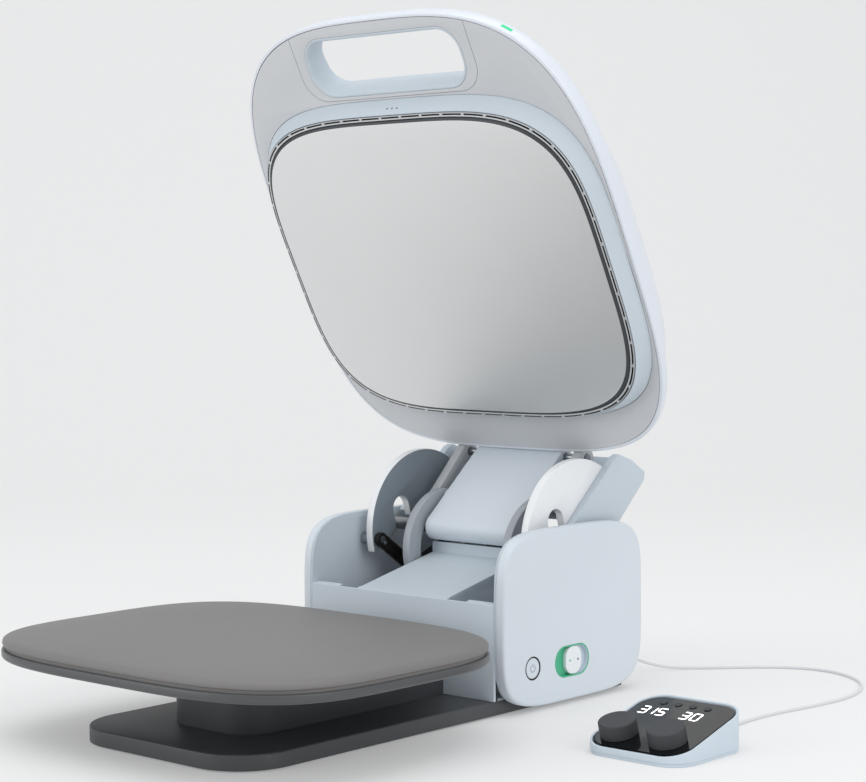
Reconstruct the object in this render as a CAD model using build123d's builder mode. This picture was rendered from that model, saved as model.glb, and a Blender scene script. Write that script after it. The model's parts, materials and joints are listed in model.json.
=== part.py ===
from build123d import *
import os
from math import atan2, copysign, cos, degrees, hypot, pi, radians, sin, tan

# Clamshell heat press. Units mm. +X is the operator's right, +Y the back, +Z up.
# The origin is on the floor, under the centre of the lower platen.
# The rest pose is the open press.

# ---------------------------------------------------------------- driving sizes
clearance = 0.3            # gap between pieces that move past each other
seam = 0.2                 # gap between fixed covers
running_fit = 0.05         # radial gap of a shaft in its bore

plate_half_x = 190.5       # 15 x 12 inch heat plate
plate_half_y = 152.5
plate_power = 3.9          # superellipse power of the plate outline
plate_thick = 10.0
plate_open_y = 257.0       # centre of the heated face, lid open
plate_open_z = 394.1
plate_closed_y = -3.4      # the same point, lid closed on the mat
lid_tilt = 62.52           # angle between the open lid and the closed lid

tray_margin = 6.0          # tray outline beyond the heat plate, left and right
tray_margin_y = 3.4
tray_power = 3.62
tray_top = 76.3
tray_thick = 8.1
mat_thick = 14.9
bolt_pitch = (70.0, 60.0)
bolt_r, bolt_head_r, bolt_head, bolt_long = 3.0, 5.0, 3.5, 18.0

foot_half_x = 108.5
foot_front = -105.0
foot_back = 388.0
foot_corner = 51.0
sole_thick = 1.5
foot_top = 14.7
column_half_x = 53.0
column_front = -45.0
column_wall = 6.0

body_front = 195.9
body_back = 399.9
body_bottom = 4.6
body_top = 163.1
body_power = 4.76
body_half_x = 124.1
liner_inner = 112.0        # inner face of the side walls
liner_thick = 2.3
cover_wall = 3.0
frame_thick = 3.0
deck_half_x = 54.5
deck_front_z = 100.3
deck_slope = 12.5
deck_rear = 305.5
riser_top = 134.4                # wall behind the deck, under the neck
riser_wall = 2.5
deck_wall = 2.8
lip_depth = 7.0
lip_wall, lip_relief = 1.6, 40.0   # thinned wall where the rockers pass

neck_pivot = (303.0, 149.0)      # main shaft, (y, z)
main_shaft_r = 6.0
neck_half_x = 52.5
neck_front = 12.5                # front cover surface ahead of the pivot line
neck_wall = 2.4
neck_depth = 50.0                # back cover surface behind the pivot line
hinge_pin_r = 4.0
knuckle_r, knuckle_wall = 8.6, 1.7   # front cover round the lid hinge pin
rocker_top = (330.0, 175.0)      # where rocker and lid arm meet
rocker_pivot = (284.8, 108.5)
rocker_bulge = (284.3, 146.0)
rocker_width = 17.0
rocker_reach = 87.3              # tip of the rocker from its pivot
arm_end_r, arm_tip_r = 10.5, 7.0 # lid arm at the hinge pin and at the rocker
rocker_inner, rocker_outer = 57.0, 66.0
arm_inner, arm_outer = 67.5, 77.5
crank_inner, crank_outer = 79.0, 85.0
link_inner, link_outer = 86.5, 91.0
cheek_inner, cheek_outer = 92.0, 100.0
wing_outer = 108.0
cheek_centre = (333.0, 145.0)
cheek_radius = 75.0
drive_pin = (266.5, 137.0)       # pin in the cheek that the drive link pulls
link_length = 48.0
link_angle = -35.0
link_pin_r = 3.5
collar_r = 5.5
crank_shaft_r = 5.0

gear_module = 2.0
gear_teeth = 24
pinion_teeth = 12
gear_width = 8.0
pinion_angle = 235.0             # direction from gear to pinion

lid_half_x = 209.0
lid_up = 226.0                   # lid outline above its widest line
lid_down = 222.0
lid_mid = 19.0                   # widest line above the plate centre
lid_power_up, lid_power_down = 3.2, 3.9
rim_depth = 17.0                 # rim face behind the heated face
rim_thick = 3.6
shell_wall = 3.0
bezel_half_x, bezel_half_y, bezel_mid = 203.5, 165.0, 2.0
vent_front, vent_back = 1.4, 6.4 # depths of the vented frame round the plate
vent_wide = 3.6
bezel_gap = 0.3
bezel_lip, bezel_back = 3.0, 19.0
plate_edge = 2.6                 # eased edge of the heat plate
light_long, light_wide, light_u = 11.0, 3.2, 146.0
light_deep, light_proud = 3.0, 0.2
notch_v = -183.0
handle_half_x, handle_half_y, handle_mid, handle_corner = 92.0, 26.5, 201.5, 22.0
handle_wall = 2.6

button_y, button_z, button_r = 235.8, 40.6, 9.4
button_travel = 1.2
ring_wall = 1.1
switch_y, switch_z, switch_long, switch_wide = 292.5, 40.2, 50.0, 28.5
slider_y, slider_long, slider_travel = 295.4, 24.0, 12.0

pod_x, pod_y, pod_half, pod_corner = 300.7, 188.0, 50.0, 23.0
pod_mid_z, pod_slope = 21.5, 15.5
pod_wall, pod_base_thick, pod_rim, glass_thick = 2.0, 3.0, 3.0, 1.5
knob_r, knob_height, knob_stem_r = 16.0, 13.0, 4.0
knob_spots = ((-27.5, -25.5), (21.0, -25.5))
pod_button_r, pod_button_row = 3.2, 36.7
button_spots = (-25.5, -10.8, 3.9, 18.6)
cable_exit_z = 12.0
cable_r = 1.4
socket_x, socket_z = 70.0, 24.0
grommet_long, plug_long = 10.0, 16.0

# ---------------------------------------------------------------- derived frames
tilt = radians(lid_tilt)
plate_closed_z = tray_top + mat_thick + clearance
LID = Plane(origin=(0, plate_open_y, plate_open_z), x_dir=(1, 0, 0),
            z_dir=(0, -sin(tilt), -cos(tilt)))


def swing_pole():
    """Point about which the whole lid motion is one turn of lid_tilt."""
    dy = plate_closed_y - plate_open_y
    dz = plate_closed_z - plate_open_z
    half = tan(tilt / 2)
    return (plate_open_y + dy / 2 - dz / (2 * half),
            plate_open_z + dz / 2 + dy / (2 * half))


pole = swing_pole()
pole_to_pivot = atan2(neck_pivot[1] - pole[1], neck_pivot[0] - pole[0])
hinge_reach = 188.0              # lid hinge pin from that pole
hinge_angle = pole_to_pivot - tilt / 2
lid_hinge = (pole[0] + hinge_reach * cos(hinge_angle), pole[1] + hinge_reach * sin(hinge_angle))
neck_length = hypot(lid_hinge[0] - neck_pivot[0], lid_hinge[1] - neck_pivot[1])
neck_angle = degrees(atan2(lid_hinge[1] - neck_pivot[1], lid_hinge[0] - neck_pivot[0]))
NECK = Plane(origin=(0, *neck_pivot), z_dir=(1, 0, 0),
             x_dir=(0, cos(radians(neck_angle)), sin(radians(neck_angle))))
link_step = (link_length * cos(radians(link_angle)), link_length * sin(radians(link_angle)))
crank_centre = (neck_pivot[0] + link_step[0], neck_pivot[1] + link_step[1])
crank_pin = (drive_pin[0] + link_step[0], drive_pin[1] + link_step[1])
pinion_reach = gear_module * (gear_teeth + pinion_teeth) / 2
pinion_centre = (crank_centre[0] + pinion_reach * cos(radians(pinion_angle)),
                 crank_centre[1] + pinion_reach * sin(radians(pinion_angle)))
body_mid = ((body_front + body_back) / 2, (body_bottom + body_top) / 2)
body_half = ((body_back - body_front) / 2, (body_top - body_bottom) / 2)
POD = Plane(origin=(pod_x, pod_y, pod_mid_z), x_dir=(1, 0, 0),
            z_dir=(0, -sin(radians(pod_slope)), cos(radians(pod_slope))))


# ---------------------------------------------------------------- helpers
def superellipse(half_x, up, down, power_up, power_down, mid=0.0, steps=40):
    """Points of a rounded-square outline with its own upper and lower halves."""
    points = []
    for step in range(steps):
        turn = 2 * pi * step / steps
        power = power_up if sin(turn) >= 0 else power_down
        reach = up if sin(turn) >= 0 else down
        points.append((half_x * copysign(abs(cos(turn)) ** (2 / power), cos(turn)),
                       mid + reach * copysign(abs(sin(turn)) ** (2 / power), sin(turn))))
    return points


def outline(points):
    """Closed smooth face through the points, in the current sketch."""
    make_face(Edge.make_spline([Vector(*point) for point in points], periodic=True))


def plate_outline(grow=0.0):
    outline(superellipse(plate_half_x + grow, plate_half_y + grow, plate_half_y + grow,
                         plate_power, plate_power))


def tray_outline(grow=0.0):
    half_y = plate_half_y + tray_margin_y + grow
    outline(superellipse(plate_half_x + tray_margin + grow, half_y, half_y, tray_power, tray_power))


def bezel_outline(grow=0.0):
    outline(superellipse(bezel_half_x + grow, bezel_half_y + grow, bezel_half_y + grow,
                         plate_power, plate_power, bezel_mid))


def lid_outline(half_x=lid_half_x, up=lid_up, down=lid_down, grow=0.0):
    outline(superellipse(half_x + grow, up + grow, down + grow,
                         lid_power_up, lid_power_down, lid_mid))


def body_outline(grow=0.0):
    half_y, half_z = body_half[0] + grow, body_half[1] + grow
    points = superellipse(half_y, half_z, half_z, body_power, body_power)
    outline([(body_mid[0] + y, body_mid[1] + z) for y, z in points])


def foot_outline(grow=0.0, corner=foot_corner):
    """Foot plate outline: round front corners, nearly square back corners."""
    with Locations((0, (foot_front + foot_back) / 2)):
        Rectangle(2 * (foot_half_x + grow), foot_back - foot_front + 2 * grow)
    front = vertices_of_sketch().sort_by(Axis.Y)[:2]
    fillet(front, corner + grow)


def vertices_of_sketch():
    return BuildSketch._get_context().vertices()


def both_sides(low, high):
    """The stretches of X between low and high, right and left."""
    return ((low, high - low), (-high, high - low))


def save(part, name):
    part.part.label = name
    export_step(part.part, f"parts/{name}.step")


# ---------------------------------------------------------------- foot, column, platen
bolt_spots = GridLocations(*bolt_pitch, 2, 2)


def make_foot():
    with BuildPart() as rubber_sole:
        with BuildSketch(Plane.XY):
            foot_outline(-6)
        extrude(amount=sole_thick)
    save(rubber_sole, "rubber_sole")
    with BuildPart() as foot_plate:
        with BuildSketch(Plane.XY.offset(sole_thick)):
            foot_outline()
        extrude(amount=foot_top - sole_thick)
        fillet(foot_plate.faces().sort_by(Axis.Z)[-1].edges(), 1.6)
    save(foot_plate, "foot_plate")


def column_outline(grow=0.0):
    front, back = column_front - grow, body_front - clearance + grow
    with Locations((0, (front + back) / 2)):
        Rectangle(2 * (column_half_x + grow), back - front)
    fillet(vertices_of_sketch().sort_by(Axis.Y)[:2], 30 + grow)


def make_platen():
    tray_bottom = tray_top - tray_thick
    with BuildPart() as platen_column:
        with BuildSketch(Plane.XY.offset(foot_top)):
            column_outline()
        extrude(amount=tray_bottom - foot_top)
        with BuildSketch(Plane.XY.offset(foot_top)):
            column_outline(-column_wall)
        extrude(amount=tray_bottom - foot_top - 12, mode=Mode.SUBTRACT)
        with BuildSketch(Plane.XY.offset(tray_bottom)):
            with bolt_spots:
                Circle(bolt_r)
        extrude(amount=-bolt_long, mode=Mode.SUBTRACT)
    save(platen_column, "platen_column")
    with BuildPart() as platen_tray:
        with BuildSketch(Plane.XY.offset(tray_bottom)):
            tray_outline(-1.6)
        with BuildSketch(Plane.XY.offset(tray_bottom + 1.6)):
            tray_outline()
        loft(ruled=True)
        with BuildSketch(Plane.XY.offset(tray_bottom + 1.6)):
            tray_outline()
        extrude(amount=tray_thick - 1.6)
        with BuildSketch(Plane.XY.offset(tray_top)):
            with bolt_spots:
                Circle(bolt_head_r + seam)
        extrude(amount=-bolt_head, mode=Mode.SUBTRACT)
        with BuildSketch(Plane.XY.offset(tray_top)):
            with bolt_spots:
                Circle(bolt_r + seam)
        extrude(amount=-tray_thick, mode=Mode.SUBTRACT)
    save(platen_tray, "platen_tray")
    with BuildPart() as tray_bolts:
        with BuildSketch(Plane.XY.offset(tray_top - bolt_head)):
            with bolt_spots:
                Circle(bolt_head_r)
        extrude(amount=bolt_head - seam)
        with BuildSketch(Plane.XY.offset(tray_top - bolt_head)):
            with bolt_spots:
                Circle(bolt_r - running_fit)
        extrude(amount=-bolt_long)
    save(tray_bolts, "tray_bolts")
    mat_levels = ((0, -2.8), (3.0, -2.8), (3.6, -0.8), (8.6, -1.6), (12.6, -9), (mat_thick, -34))
    with BuildPart() as pressing_mat:
        for height, grow in mat_levels:
            with BuildSketch(Plane.XY.offset(tray_top + height)):
                tray_outline(grow)
        loft(ruled=True)
    save(pressing_mat, "pressing_mat")


# ---------------------------------------------------------------- body
def make_side_walls():
    with BuildPart() as side_liners:
        for start, width in both_sides(liner_inner, liner_inner + liner_thick):
            with BuildSketch(Plane.YZ.offset(start)):
                body_outline(-0.4)
                with Locations(neck_pivot):
                    Circle(main_shaft_r + clearance, mode=Mode.SUBTRACT)
            extrude(amount=width)
    save(side_liners, "side_liners")
    frame_start = liner_inner + liner_thick + clearance
    bush_r = main_shaft_r + 3
    with BuildPart() as side_frames:
        for start, width in both_sides(frame_start, frame_start + frame_thick):
            with BuildSketch(Plane.YZ.offset(start)):
                body_outline(-8)
                with Locations(neck_pivot):
                    Circle(bush_r + 1.5)
                    Circle(bush_r, mode=Mode.SUBTRACT)
            extrude(amount=width)
    save(side_frames, "side_frames")
    with BuildPart() as shaft_bushes:
        for start, width in both_sides(frame_start, frame_start + 5):
            with BuildSketch(Plane.YZ.offset(start)):
                with Locations(neck_pivot):
                    Circle(bush_r)
                    Circle(main_shaft_r, mode=Mode.SUBTRACT)
            extrude(amount=width)
    save(shaft_bushes, "shaft_bushes")
    with BuildPart() as main_shaft:
        with BuildSketch(Plane.YZ.offset(-frame_start - 4.5)):
            with Locations(neck_pivot):
                Circle(main_shaft_r)
        extrude(amount=2 * (frame_start + 4.5))
    save(main_shaft, "main_shaft")


def side_cover(side):
    """Outer moulding of one side: a dished shell with a rounded rim."""
    inner = liner_inner + liner_thick + seam
    levels = ((inner, 0.0), (body_half_x - 2.2, 0.0), (body_half_x - 0.6, -0.8), (body_half_x, -2.6))
    with BuildPart() as cover:
        for level, grow in levels:
            with BuildSketch(Plane.YZ.offset(side * level)):
                body_outline(grow)
        loft(ruled=True)
        with BuildSketch(Plane.YZ.offset(side * inner)):
            body_outline(-cover_wall)
        extrude(amount=side * (body_half_x - cover_wall - inner), mode=Mode.SUBTRACT)
        if side > 0:
            with BuildSketch(Plane.YZ.offset(inner)):
                with Locations((button_y, button_z)):
                    Circle(button_r + ring_wall + seam)
                with Locations((switch_y, switch_z)):
                    SlotOverall(switch_long + 2 * seam, switch_wide + 2 * seam)
            extrude(amount=body_half_x, mode=Mode.SUBTRACT)
    return cover


def make_side_covers():
    save(side_cover(-1), "left_side_cover")
    save(side_cover(1), "right_side_cover")


def make_side_controls():
    face = body_half_x
    with BuildPart() as power_button_ring:
        with BuildSketch(Plane.YZ.offset(face - 4.2)):
            with Locations((button_y, button_z)):
                Circle(button_r + ring_wall)
                Circle(button_r + clearance, mode=Mode.SUBTRACT)
        extrude(amount=4.4)
    save(power_button_ring, "power_button_ring")
    with BuildPart() as power_button:
        with BuildSketch(Plane.YZ.offset(face - 4.4)):
            with Locations((button_y, button_z)):
                Circle(button_r)
        extrude(amount=4.3)
        fillet(power_button.faces().sort_by(Axis.X)[-1].edges(), 0.8)
    save(power_button, "power_button")
    with BuildPart() as switch_recess:
        with BuildSketch(Plane.YZ.offset(face - 5.6)):
            with Locations((switch_y, switch_z)):
                SlotOverall(switch_long, switch_wide)
        extrude(amount=5.6)
        with BuildSketch(Plane.YZ.offset(face - 4.2)):
            with Locations((switch_y, switch_z)):
                SlotOverall(switch_long - 2.4, switch_wide - 2.4)
        extrude(amount=5, mode=Mode.SUBTRACT)
    save(switch_recess, "switch_recess")
    with BuildPart() as lock_slider:
        with BuildSketch(Plane.YZ.offset(face - 4.2 + clearance)):
            with Locations((slider_y, switch_z)):
                RectangleRounded(slider_long - 1.2, switch_wide - 2.4 - 2 * clearance, 10)
        extrude(amount=3.6)
        fillet(lock_slider.faces().sort_by(Axis.X)[-1].edges(), 0.8)
    save(lock_slider, "lock_slider")


def make_body_covers():
    span = liner_inner - seam
    rise = tan(radians(deck_slope))
    lip_back = body_front + lip_depth
    deck_rear_z = deck_front_z + (deck_rear - body_front) * rise
    skirt_bottom = foot_top + 3 + seam
    with BuildPart() as deck_cover:
        with BuildSketch(Plane.YZ.offset(-span)):
            Polygon((body_front, foot_top + seam), (body_front, deck_front_z),
                    (lip_back, deck_front_z + lip_depth * rise),
                    (lip_back, deck_front_z + lip_depth * rise - deck_wall),
                    (body_front + deck_wall, deck_front_z - deck_wall),
                    (body_front + deck_wall, foot_top + seam), align=None)
        extrude(amount=2 * span)
        with BuildSketch(Plane.YZ.offset(-deck_half_x)):
            Polygon((body_front + 1, deck_front_z - 1), (body_front + 1, deck_front_z + rise),
                    (deck_rear, deck_rear_z), (deck_rear, deck_rear_z - deck_wall),
                    (body_front + 1, deck_front_z - deck_wall), align=None)
        extrude(amount=2 * deck_half_x)
        with BuildSketch(Plane.YZ.offset(-deck_half_x)):
            with Locations((deck_rear, deck_rear_z - deck_wall)):
                Rectangle(riser_wall, riser_top - deck_rear_z + deck_wall, align=(Align.MAX, Align.MIN))
        extrude(amount=2 * deck_half_x)
        for start, width in both_sides(deck_half_x - 2.5, deck_half_x):
            with BuildSketch(Plane.YZ.offset(start)):
                Polygon((body_front + 1, skirt_bottom), (body_front + 1, deck_front_z),
                        (deck_rear, deck_rear_z - 1), (deck_rear, skirt_bottom), align=None)
                with Locations(rocker_pivot):
                    Circle(crank_shaft_r + 1, mode=Mode.SUBTRACT)
            extrude(amount=width)
        for start, width in both_sides(rocker_inner - 1.5, arm_outer + 1.0):
            with BuildSketch(Plane.YZ.offset(start)):
                with Locations((body_front + lip_wall, deck_front_z - lip_relief)):
                    Rectangle(30, 60, align=(Align.MIN, Align.MIN))
            extrude(amount=width, mode=Mode.SUBTRACT)
    save(deck_cover, "deck_cover")
    back = body_back - 5.4
    top = 139.0
    with BuildPart() as rear_cover:
        with BuildSketch(Plane.YZ.offset(-span)):
            with BuildLine():
                FilletPolyline((back, foot_top + seam), (back, top), (back - 22, top), radius=10)
                offset(amount=2.6, side=Side.LEFT)
            make_face()
        extrude(amount=2 * span)
        with BuildSketch(Plane.XZ.offset(-back - 5)):
            with Locations((-58, 48)):
                Rectangle(31.4, 23.4)
            with Locations((socket_x, socket_z)):
                Circle(6.2)
        extrude(amount=20, mode=Mode.SUBTRACT)
    save(rear_cover, "rear_cover")
    with BuildPart() as base_chassis:
        with BuildSketch(Plane.XY.offset(foot_top)):
            with Locations((0, (body_front + back) / 2)):
                Rectangle(2 * span - 1, back - body_front - 12)
        extrude(amount=2.5)
        for start, width in both_sides(span - 2.5, span - 0.5):
            with BuildSketch(Plane.YZ.offset(start)):
                with Locations((body_mid[0], foot_top)):
                    Rectangle(150, 26, align=(Align.CENTER, Align.MIN))
            extrude(amount=width)
    save(base_chassis, "base_chassis")


def make_body_inside():
    floor = foot_top + 2.5
    with BuildPart() as bearing_plates:
        for start, width in both_sides(46, 50):
            with BuildSketch(Plane.YZ.offset(start)):
                with Locations(crank_centre):
                    Circle(8.3)
                with Locations(rocker_pivot):
                    Circle(7.5)
                with Locations((318, floor)):
                    Rectangle(94, 12, align=(Align.CENTER, Align.MIN))
                make_hull()
                with Locations(crank_centre):
                    Circle(crank_shaft_r + running_fit, mode=Mode.SUBTRACT)
                with Locations(rocker_pivot):
                    Circle(crank_shaft_r, mode=Mode.SUBTRACT)
            extrude(amount=width)
    save(bearing_plates, "bearing_plates")
    with BuildPart() as rocker_pins:
        for start, width in both_sides(46, rocker_outer + 0.6):
            with BuildSketch(Plane.YZ.offset(start)):
                with Locations(rocker_pivot):
                    Circle(crank_shaft_r)
            extrude(amount=width)
    save(rocker_pins, "rocker_pins")
    motor_r = 19.0
    with BuildPart() as gear_motor:
        with BuildSketch(Plane.YZ.offset(-44)):
            with Locations(pinion_centre):
                Circle(motor_r)
        extrude(amount=28)
        with BuildSketch(Plane.YZ.offset(-16)):
            with Locations(pinion_centre):
                RectangleRounded(42, 42, 5)
        extrude(amount=13)
        with BuildSketch(Plane.YZ.offset(-40)):
            with Locations((pinion_centre[0], floor)):
                Rectangle(30, pinion_centre[1] - floor - 12, align=(Align.CENTER, Align.MIN))
        extrude(amount=32)
    save(gear_motor, "gear_motor")
    with BuildPart() as power_board:
        with BuildSketch(Plane.XY.offset(floor + 6)):
            with Locations((0, 232)):
                Rectangle(88, 60)
        extrude(amount=1.6)
        with BuildSketch(Plane.XY.offset(floor + 7.6)):
            with Locations((-24, 236)):
                Rectangle(30, 34)
            with Locations((20, 218), (20, 246)):
                Circle(10)
        extrude(amount=26)
        with BuildSketch(Plane.XY.offset(floor)):
            with Locations((0, 232)):
                with GridLocations(80, 52, 2, 2):
                    Circle(3)
        extrude(amount=6)
    save(power_board, "power_board")
    inlet_front = body_back - 8
    with BuildPart() as mains_inlet:
        with BuildSketch(Plane.XZ.offset(-inlet_front + 24)):
            with Locations((-58, 48)):
                Rectangle(31, 23)
        extrude(amount=-27)
        with BuildSketch(Plane.XZ.offset(-inlet_front + 14)):
            with Locations((-58, 48)):
                Rectangle(24, 16)
        extrude(amount=-20, mode=Mode.SUBTRACT)
        with BuildSketch(Plane.XZ.offset(-inlet_front + 16)):
            with Locations((-65, 46), (-58, 50), (-51, 46)):
                Rectangle(1.6, 4.5)
        extrude(amount=-12)
    save(mains_inlet, "mains_inlet")
    with BuildPart() as cable_socket:
        with BuildSketch(Plane.XZ.offset(-body_back + 20)):
            with Locations((socket_x, socket_z)):
                Circle(6)
        extrude(amount=-15)
    save(cable_socket, "cable_socket")


# ---------------------------------------------------------------- drive
def gear_sketch(teeth, centre, first_tooth):
    """Straight-flanked gear with room for backlash; first_tooth in degrees."""
    pitch_r = gear_module * teeth / 2
    root_r, tip_r = pitch_r - 1.3 * gear_module, pitch_r + 0.85 * gear_module
    step = 2 * pi / teeth
    points = []
    for tooth in range(teeth):
        middle = radians(first_tooth) + tooth * step
        for radius, share in ((root_r, -0.29), (tip_r, -0.12), (tip_r, 0.12), (root_r, 0.29)):
            turn = middle + share * step
            points.append((centre[0] + radius * cos(turn), centre[1] + radius * sin(turn)))
    Polygon(*points, align=None)


def make_drive():
    with BuildPart() as crank_shaft:
        with BuildSketch(Plane.YZ.offset(-crank_outer)):
            with Locations(crank_centre):
                Circle(crank_shaft_r)
        extrude(amount=2 * crank_outer)
        for start, width in both_sides(crank_inner, crank_outer):
            with BuildSketch(Plane.YZ.offset(start)):
                with Locations(crank_centre):
                    Circle(9)
                with Locations(crank_pin):
                    Circle(6.5)
                make_hull()
            extrude(amount=width)
        for start, width in both_sides(crank_outer, link_outer + 0.6):
            with BuildSketch(Plane.YZ.offset(start)):
                with Locations(crank_pin):
                    Circle(link_pin_r)
            extrude(amount=width)
    save(crank_shaft, "crank_shaft")
    with BuildPart() as drive_gear:
        with BuildSketch(Plane.YZ):
            gear_sketch(gear_teeth, crank_centre, pinion_angle + 180 / gear_teeth)
            with Locations(crank_centre):
                Circle(crank_shaft_r, mode=Mode.SUBTRACT)
        extrude(amount=gear_width)
    save(drive_gear, "drive_gear")
    with BuildPart() as motor_pinion:
        with BuildSketch(Plane.YZ):
            gear_sketch(pinion_teeth, pinion_centre, pinion_angle + 180)
        extrude(amount=gear_width)
        with BuildSketch(Plane.YZ.offset(-2.6)):
            with Locations(pinion_centre):
                Circle(4)
        extrude(amount=2.6)
    save(motor_pinion, "motor_pinion")
    with BuildPart() as drive_links:
        for start, width in both_sides(link_inner, link_outer):
            with BuildSketch(Plane.YZ.offset(start)):
                with Locations(drive_pin, crank_pin):
                    Circle(6.5)
                make_hull()
                with Locations(drive_pin, crank_pin):
                    Circle(link_pin_r + running_fit, mode=Mode.SUBTRACT)
            extrude(amount=width)
    save(drive_links, "drive_links")


# ---------------------------------------------------------------- folding neck
def make_neck():
    far = neck_length
    with BuildPart() as neck_frame:
        for start, width in both_sides(40, 44):
            with BuildSketch(NECK.offset(start)):
                Circle(9.6)
                with Locations((far, 0)):
                    Circle(6.4)
                with Locations((72, -18)):
                    Circle(4)
                make_hull()
                Circle(main_shaft_r + running_fit, mode=Mode.SUBTRACT)
                with Locations((far, 0)):
                    Circle(hinge_pin_r, mode=Mode.SUBTRACT)
            extrude(amount=width)
        with BuildSketch(NECK.offset(-cheek_inner)):
            with Locations((70, -18)):
                Rectangle(30, 4)
        extrude(amount=2 * cheek_inner)
    save(neck_frame, "neck_frame")
    with BuildPart() as neck_front_cover:
        with BuildSketch(NECK.offset(-neck_half_x)):
            Circle(neck_front)
            Polygon((0, 0), (far, 0), (far, knuckle_r), (0, neck_front), align=None)
            with Locations((far, 0)):
                Circle(knuckle_r)
        extrude(amount=2 * neck_half_x)
        with BuildSketch(NECK.offset(-neck_half_x + neck_wall)):
            Circle(neck_front - neck_wall + 0.4)
            Polygon((0, -20), (far, -20), (far, knuckle_r - knuckle_wall),
                    (0, neck_front - neck_wall), align=None)
            Polygon((far, -20), (far + 5, -20), (far + 5, -3.5), (far, -3.5), align=None)
            with Locations((far, 0)):
                Circle(knuckle_r - knuckle_wall)
        extrude(amount=2 * (neck_half_x - neck_wall), mode=Mode.SUBTRACT)
        with BuildSketch(NECK.offset(-neck_half_x)):
            Circle(main_shaft_r + clearance)
            with Locations((far, 0)):
                Circle(hinge_pin_r + clearance)
        extrude(amount=2 * neck_half_x, mode=Mode.SUBTRACT)
    save(neck_front_cover, "neck_front_cover")
    outer = ((29, -8.7), (113, -11.5), (127, -45), (121, -neck_depth), (68, -neck_depth), (63, -47))
    inner = ((33.5, -11.4), (111.4, -14.0), (124, -45), (120, -neck_depth + 2.6),
             (69, -neck_depth + 2.6), (66, -46))
    mouth = ((30, -3), (110.6, -3), (110.6, -15), (33.5, -15))
    side_plate = ((16, 1), (104, -1), (110.5, -3.5), (120, -21), (127, -45), (121, -neck_depth),
                  (68, -neck_depth), (60, -43))
    with BuildPart() as neck_rear_cover:
        with BuildSketch(NECK.offset(-wing_outer)):
            Polygon(*outer, align=None)
        extrude(amount=2 * wing_outer)
        with BuildSketch(NECK.offset(-wing_outer + 2.6)):
            Polygon(*inner, align=None)
        extrude(amount=2 * (wing_outer - 2.6), mode=Mode.SUBTRACT)
        for start, width in ((-50, 100), *both_sides(cheek_inner - clearance, cheek_outer + clearance)):
            with BuildSketch(NECK.offset(start)):
                Polygon(*mouth, align=None)
            extrude(amount=width, mode=Mode.SUBTRACT)
        for start, width in both_sides(cheek_outer + clearance, wing_outer):
            with BuildSketch(NECK.offset(start)):
                Polygon(*side_plate, align=None)
            extrude(amount=width)
        for start, width in both_sides(40 - clearance, 44 + clearance):
            with BuildSketch(NECK.offset(start)):
                with Locations((37, -15)):
                    Rectangle(26, 20)
            extrude(amount=width, mode=Mode.SUBTRACT)
    save(neck_rear_cover, "neck_rear_cover")
    with BuildPart() as lid_hinge_pin:
        with BuildSketch(NECK.offset(-arm_outer - 1)):
            with Locations((far, 0)):
                Circle(hinge_pin_r)
        extrude(amount=2 * (arm_outer + 1))
    save(lid_hinge_pin, "lid_hinge_pin")


def to_neck(point):
    """A (y, z) point as (along, front) of the neck plane."""
    local = NECK.to_local_coords(Vector(0, *point))
    return (local.X, local.Y)


def make_cheeks():
    tip = to_neck(drive_pin)
    with BuildPart() as cheek_plates:
        for start, width in both_sides(cheek_inner, cheek_outer):
            with BuildSketch(NECK.offset(start)):
                with Locations(to_neck(cheek_centre)):
                    Circle(cheek_radius)
                Polygon((tip[0] - 12, tip[1] - 6), (31, -6), (52, -22), (86, -22), (91, 0),
                        (60, 80), (-70, 80), align=None, mode=Mode.INTERSECT)
                with Locations(tip):
                    Circle(8)
                with BuildSketch(NECK.offset(start), mode=Mode.PRIVATE) as arch:
                    with Locations(to_neck((299.5, 165)), (0, 0), (-8, -20)):
                        Circle(11)
                    make_hull()
                add(arch.sketch_local, mode=Mode.SUBTRACT)
                with Locations(tip):
                    Circle(collar_r, mode=Mode.SUBTRACT)
            extrude(amount=width)
    save(cheek_plates, "cheek_plates")
    with BuildPart() as link_pins:
        for start, width in both_sides(link_inner - 0.6, cheek_inner - clearance):
            with BuildSketch(Plane.YZ.offset(start)):
                with Locations(drive_pin):
                    Circle(link_pin_r)
            extrude(amount=width)
        for start, width in both_sides(cheek_inner - clearance, liner_inner - 2):
            with BuildSketch(Plane.YZ.offset(start)):
                with Locations(drive_pin):
                    Circle(collar_r)
            extrude(amount=width)
    save(link_pins, "link_pins")


def make_rockers():
    with BuildPart() as rocker_arms:
        for start, width in both_sides(rocker_inner, rocker_outer):
            with BuildSketch(Plane.YZ.offset(start)):
                with BuildLine(mode=Mode.PRIVATE) as spine:
                    ThreePointArc(rocker_top, rocker_bulge, rocker_pivot)
                SlotArc(spine.edges()[0], rocker_width)
                with Locations(rocker_pivot):
                    Circle(arm_end_r)
                    Circle(rocker_reach, mode=Mode.INTERSECT)
                    Circle(crank_shaft_r + running_fit, mode=Mode.SUBTRACT)
            extrude(amount=width)
    save(rocker_arms, "rocker_arms")


# ---------------------------------------------------------------- lid
lid_levels = (              # depth, half width, up, down
    (rim_depth, 209.0, 226.0, 222.0),
    (24.0, 209.5, 226.5, 221.0),
    (30.0, 208.5, 225.0, 200.0),
    (35.0, 206.5, 219.0, 196.0),
    (42.0, 203.0, 168.0, 190.5),
    (54.0, 195.0, 152.0, 181.0),
    (66.0, 178.0, 135.0, 165.0),
    (74.0, 140.0, 105.0, 130.0),
    (77.0, 90.0, 65.0, 85.0),
)
hinge_v = -(lid_hinge[0] - plate_open_y) * cos(tilt) + (lid_hinge[1] - plate_open_z) * sin(tilt)
hinge_w = (lid_hinge[0] - plate_open_y) * sin(tilt) + (lid_hinge[1] - plate_open_z) * cos(tilt)


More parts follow.
